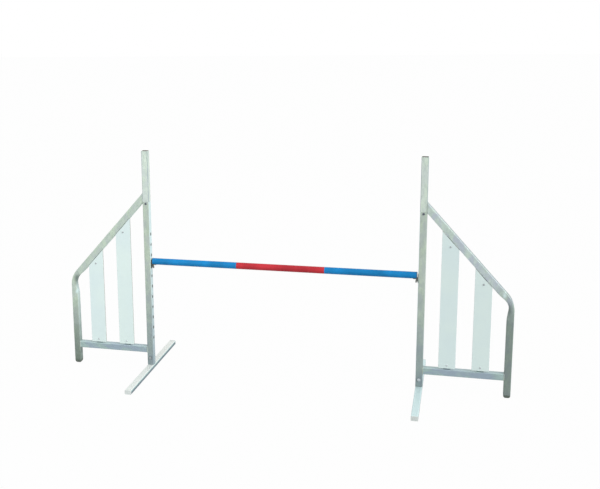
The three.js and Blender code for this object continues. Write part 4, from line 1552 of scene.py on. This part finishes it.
def bar_cap(side):
    """A turned cap with a rounded face and a grooved plug."""
    extent = Extent(f"bar_cap_{side}")
    tube = Extent("bar_tube")
    radius = extent.size.z / 2
    plug = tube.size.z / 2 - bpy.context.scene.hurdle_bar.wall - SEAT_GAP
    reach = extent.high.x - tube.high.x if side == "right" else tube.low.x - extent.low.x
    flange = reach - SEAT_GAP
    long = extent.size.x
    rounding = 1 * MM
    grooved = plug - 0.6 * MM
    profile = [(0, -long), (plug - rounding, -long), (plug, -long + rounding)]
    for groove in (3, 8, 13):
        level = -long + groove * MM
        profile += [(plug, level), (grooved, level + 0.5 * MM), (grooved, level + 2 * MM)]
        profile.append((plug, level + 2.5 * MM))
    profile += [(plug, -flange), (radius, -flange)]
    for i in range(7):
        angle = i / 6 * math.pi / 2
        profile.append((radius - rounding * (1 - math.cos(angle)), -rounding * (1 - math.sin(angle))))
    profile += [(0.62 * radius, 0), (0.56 * radius, -0.4 * MM), (0, -0.4 * MM)]
    cap_mesh = moved(turned(profile, BAR_SIDES), TO_RIGHT)
    if side == "left":
        moved(cap_mesh, MIRROR)
    end = extent.high.x if side == "right" else extent.low.x
    return moved(cap_mesh, Vector((end, extent.middle.y, extent.middle.z)))


# Operators


class HURDLE_OT_posts(bpy.types.Operator):
    """Add both lower posts, with their cup holes, and both masts"""

    bl_idname = "hurdle.posts"
    bl_label = "Posts and masts"

    def execute(self, context):
        rim = context.scene.hurdle_frame.rim
        add_on_both_stands("post_tube", lower_post, "post", "galvanised_tube", "lower_post", ease=rim)
        add_on_both_stands("mast_tube", mast, "mast", "galvanised_tube", "mast", ease=rim)
        for side in SIDES:
            line_tube(f"{side}_post_tube", finish_of("lining"))
            line_tube(f"{side}_mast_tube", finish_of("lining"))
            keep_node(f"{side}_mast_spigot", finish_of("mast"))
            keep_node(f"{side}_foot_stub", finish_of("post"))
        return {"FINISHED"}


class HURDLE_OT_wings(bpy.types.Operator):
    """Add both wings' bent rails and bottom rails"""

    bl_idname = "hurdle.wings"
    bl_label = "Wing rails"

    def execute(self, context):
        rim = context.scene.hurdle_frame.rim
        add_on_both_stands(
            "wing_tube", wing_tube, "{side}_wing", "galvanised_tube", "wing_rail", ease=rim
        )
        add_on_both_stands(
            "bottom_tube", lambda: straight_tube(BOTTOM_RAIL, "X"), "rail", "galvanised_tube",
            "bottom_rail", ease=rim,
        )
        return {"FINISHED"}


class HURDLE_OT_welds(bpy.types.Operator):
    """Add the weld beads where rails meet posts, legs and lugs"""

    bl_idname = "hurdle.welds"
    bl_label = "Weld beads"

    def execute(self, context):
        beads = {
            "wing_rail_bead": wing_rail_bead,
            "bottom_rail_bead_post": lambda: bottom_rail_bead("low"),
            "bottom_rail_bead_leg": lambda: bottom_rail_bead("high"),
        }
        for place in SLAT_PLACES:
            for end in ENDS:
                extent = Extent(f"right_{place}_slat_lug_{end}")
                beads[f"{place}_lug_bead_{end}"] = lambda extent=extent, end=end: lug_bead(
                    extent, end == "upper"
                )
        for name, make in beads.items():
            add_on_both_stands(name, make, "weld", "galvanised_tube")
        return {"FINISHED"}


class HURDLE_OT_slats(bpy.types.Operator):
    """Add the slats and the lugs that they are screwed to"""

    bl_idname = "hurdle.slats"
    bl_label = "Slats and lugs"

    def execute(self, context):
        settings = context.scene.hurdle_slats
        for place in SLAT_PLACES:
            add_on_both_stands(
                f"{place}_slat_board", lambda: slat(place), "slat", "slat_plastic", f"{place}_slat",
                ease=settings.ease, ease_steps=3,
            )
            for end in ENDS:
                add_on_both_stands(
                    f"{place}_lug_{end}", lambda: lug(place, end), "rail", "galvanised_tube",
                    f"{place}_slat_lug_{end}", ease=settings.lug_ease,
                )
        return {"FINISHED"}


class HURDLE_OT_feet(bpy.types.Operator):
    """Add the cross feet, their end caps and the glides under the legs"""

    bl_idname = "hurdle.feet"
    bl_label = "Feet and caps"

    def execute(self, context):
        rim = context.scene.hurdle_frame.rim
        add_on_both_stands(
            "foot_tube", lambda: straight_tube(Extent("right_cross_foot"), "Y"), "{side}_foot",
            "galvanised_tube", "cross_foot", ease=rim,
        )
        for end in ("front", "rear"):
            add_on_both_stands(
                f"foot_plug_{end}", lambda: foot_plug(end), f"{end}_cap", "pale_plastic",
                f"foot_cap_{end}",
            )
        add_on_both_stands("leg_glide", leg_glide, "glide", "grey_plastic", "leg_cap")
        return {"FINISHED"}


class HURDLE_OT_fasteners(bpy.types.Operator):
    """Add the slat screws, mast screws, foot bolts and nuts"""

    bl_idname = "hurdle.fasteners"
    bl_label = "Fasteners"

    def execute(self, context):
        nodes = {"mast_screw": ("screw_mast", "mast_screw")}
        for place in SLAT_PLACES:
            for end in ENDS:
                nodes[f"{place}_slat_screw_{end}"] = (f"screw_{place}_{end}", "slat_screw")
        for node, (name, kind) in nodes.items():
            add_on_both_stands(name, lambda: screw(f"right_{node}"), kind, "dark_screw", node)
        add_on_both_stands("bolt_foot", foot_bolt, "{side}_bolt", "zinc_plate", "foot_bolt")
        add_on_both_stands("nut_foot", foot_nut, "bright", "zinc_plate", "foot_nut")
        return {"FINISHED"}


class HURDLE_OT_cups(bpy.types.Operator):
    """Add the cups and the pins that lock them"""

    bl_idname = "hurdle.cups"
    bl_label = "Cups and pins"

    def execute(self, context):
        add_on_both_stands("cup_body", cup, "shaded", "zinc_plate", "cup", "cups", ease=0.3 * MM)
        add_on_both_stands("pin_rod", cup_pin, "shaded", "zinc_plate", "cup_pin", "{side}_pin")
        return {"FINISHED"}


class HURDLE_OT_bar(bpy.types.Operator):
    """Add the jump bar: its tube, coloured bands and end caps"""

    bl_idname = "hurdle.bar"
    bl_label = "Jump bar"

    def execute(self, context):
        add_piece(
            "bar_core", bar_tube(), finish_of("bar_core"), "bar", "bar_core", ["bar_tube"], ease=0.3 * MM
        )
        for index, shade in enumerate(("blue", "red", "blue"), start=1):
            node = f"bar_wrap_{index}_{shade}"
            add_piece(f"bar_band_{index}", band(node), finish_of(shade), "bar", f"bar_{shade}", [node])
        for side in ("left", "right"):
            add_piece(
                f"bar_plug_{side}", bar_cap(side), finish_of("bar_cap"), "bar", "grey_plastic",
                [f"bar_cap_{side}"],
            )
        return {"FINISHED"}


class HURDLE_OT_stage(bpy.types.Operator):
    """Set the floor, the soft lamps, the surroundings and the camera"""

    bl_idname = "hurdle.stage"
    bl_label = "Stage"

    def execute(self, context):
        settings = context.scene.hurdle_stage
        add_floor(settings)
        add_surroundings(settings)
        add_key_light(settings)
        add_fill_lamp(settings)
        add_camera(settings)
        context.scene.view_settings.view_transform = "Standard"
        return {"FINISHED"}


def seen_directly(graph):
    """1 for rays that show the surroundings themselves: from the camera, in gloss and through glass."""
    path = graph.add("ShaderNodeLightPath").outputs
    shiny = graph.math("MAXIMUM", path["Is Glossy Ray"], path["Is Transmission Ray"])
    return graph.math("MAXIMUM", path["Is Camera Ray"], shiny)


FLOOR_REACH = 30.0  # from the middle to each edge
FLOOR_WHITENESS = 0.98  # share of plain white in the floor as it is seen; the rest shows its shadow


def add_floor(settings):
    """A wide pale floor that keeps a soft shadow and reads as white from the camera."""
    bm = bmesh.new()
    bmesh.ops.create_grid(bm, x_segments=8, y_segments=8, size=FLOOR_REACH)
    mesh = bpy.data.meshes.new("floor")
    bm.to_mesh(mesh)
    bm.free()
    floor = bpy.data.objects.new("floor", mesh)
    bpy.context.scene.collection.objects.link(floor)
    material = bpy.data.materials.new("pale floor")
    material.use_nodes = True
    material.node_tree.nodes.clear()
    graph = Graph(material.node_tree)
    pale = graph.add("ShaderNodeBsdfDiffuse", {"Color": (*settings.floor, 1)})
    white = graph.add("ShaderNodeEmission", {"Strength": 1.0})
    share = graph.math("MULTIPLY", seen_directly(graph), FLOOR_WHITENESS)
    mix = graph.add("ShaderNodeMixShader", {0: share, 1: pale.outputs[0], 2: white.outputs[0]})
    graph.add("ShaderNodeOutputMaterial", {"Surface": mix.outputs[0]})
    mesh.materials.append(material)


def add_surroundings(settings):
    """White all round to look at, and a plain even light from all sides."""
    world = bpy.data.worlds.new("studio")
    bpy.context.scene.world = world
    world.use_nodes = True
    graph = Graph(world.node_tree)
    background = world.node_tree.nodes["Background"]
    background.inputs["Color"].default_value = (1, 1, 1, 1)
    strength = graph.span(seen_directly(graph), 0, 1, settings.ambient, 1.0)
    graph.feed(background.inputs["Strength"], strength)


def add_light(name, kind, place, aim, energy):
    data = bpy.data.lights.new(name, kind)
    data.energy = energy
    lamp = bpy.data.objects.new(name, data)
    bpy.context.scene.collection.objects.link(lamp)
    lamp.location = place
    lamp.rotation_euler = (aim - Vector(place)).to_track_quat("-Z", "Y").to_euler()
    return data


def add_key_light(settings):
    """A wide, even light from high on the right, a little in front."""
    data = add_light("key light", "SUN", settings.key_place, Vector(), settings.key)
    data.angle = settings.key_spread


def add_fill_lamp(settings):
    """A soft box near the left-hand stand."""
    aim = Vector((-POST.middle.x, 0, settings.fill_aim))
    data = add_light("fill lamp", "AREA", settings.fill_place, aim, settings.fill)
    data.shape = "DISK"
    data.size = settings.fill_width


def add_camera(settings):
    data = bpy.data.cameras.new("camera")
    data.sensor_width = 36
    data.lens = settings.focal_length
    data.shift_x, data.shift_y = settings.camera_shift
    camera = bpy.data.objects.new("camera", data)
    bpy.context.scene.collection.objects.link(camera)
    camera.matrix_world = (
        Matrix.Translation(settings.camera_place)
        @ Matrix.Rotation(settings.yaw, 4, "Z")
        @ Matrix.Rotation(math.pi / 2 - settings.pitch, 4, "X")
        @ Matrix.Rotation(settings.roll, 4, "Z")
    )
    bpy.context.scene.camera = camera


OPERATORS = (
    HURDLE_OT_posts,
    HURDLE_OT_wings,
    HURDLE_OT_welds,
    HURDLE_OT_slats,
    HURDLE_OT_feet,
    HURDLE_OT_fasteners,
    HURDLE_OT_cups,
    HURDLE_OT_bar,
    HURDLE_OT_stage,
)


class HURDLE_PT_panel(bpy.types.Panel):
    """Steps and settings of the hurdle"""

    bl_idname = "HURDLE_PT_panel"
    bl_label = "Agility Hurdle"
    bl_space_type = "VIEW_3D"
    bl_region_type = "UI"
    bl_category = "Hurdle"

    def draw(self, context):
        for operator in OPERATORS:
            self.layout.operator(operator.bl_idname)
        for name, group in SETTINGS.items():
            box = self.layout.box()
            settings = getattr(context.scene, name)
            for setting in group.__annotations__:
                box.prop(settings, setting)


def register():
    for group in SETTINGS.values():
        bpy.utils.register_class(group)
    for name, group in SETTINGS.items():
        setattr(bpy.types.Scene, name, PointerProperty(type=group))
    for operator in OPERATORS:
        bpy.utils.register_class(operator)
    bpy.utils.register_class(HURDLE_PT_panel)


def unregister():
    bpy.utils.unregister_class(HURDLE_PT_panel)
    for operator in reversed(OPERATORS):
        bpy.utils.unregister_class(operator)
    for name in SETTINGS:
        delattr(bpy.types.Scene, name)
    for group in reversed(SETTINGS.values()):
        bpy.utils.unregister_class(group)


def main():
    register()
    bpy.ops.hurdle.posts()
    bpy.ops.hurdle.wings()
    bpy.ops.hurdle.welds()
    bpy.ops.hurdle.slats()
    bpy.ops.hurdle.feet()
    bpy.ops.hurdle.fasteners()
    bpy.ops.hurdle.cups()
    bpy.ops.hurdle.bar()
    bpy.ops.hurdle.stage()


if __name__ == "__main__":
    main()
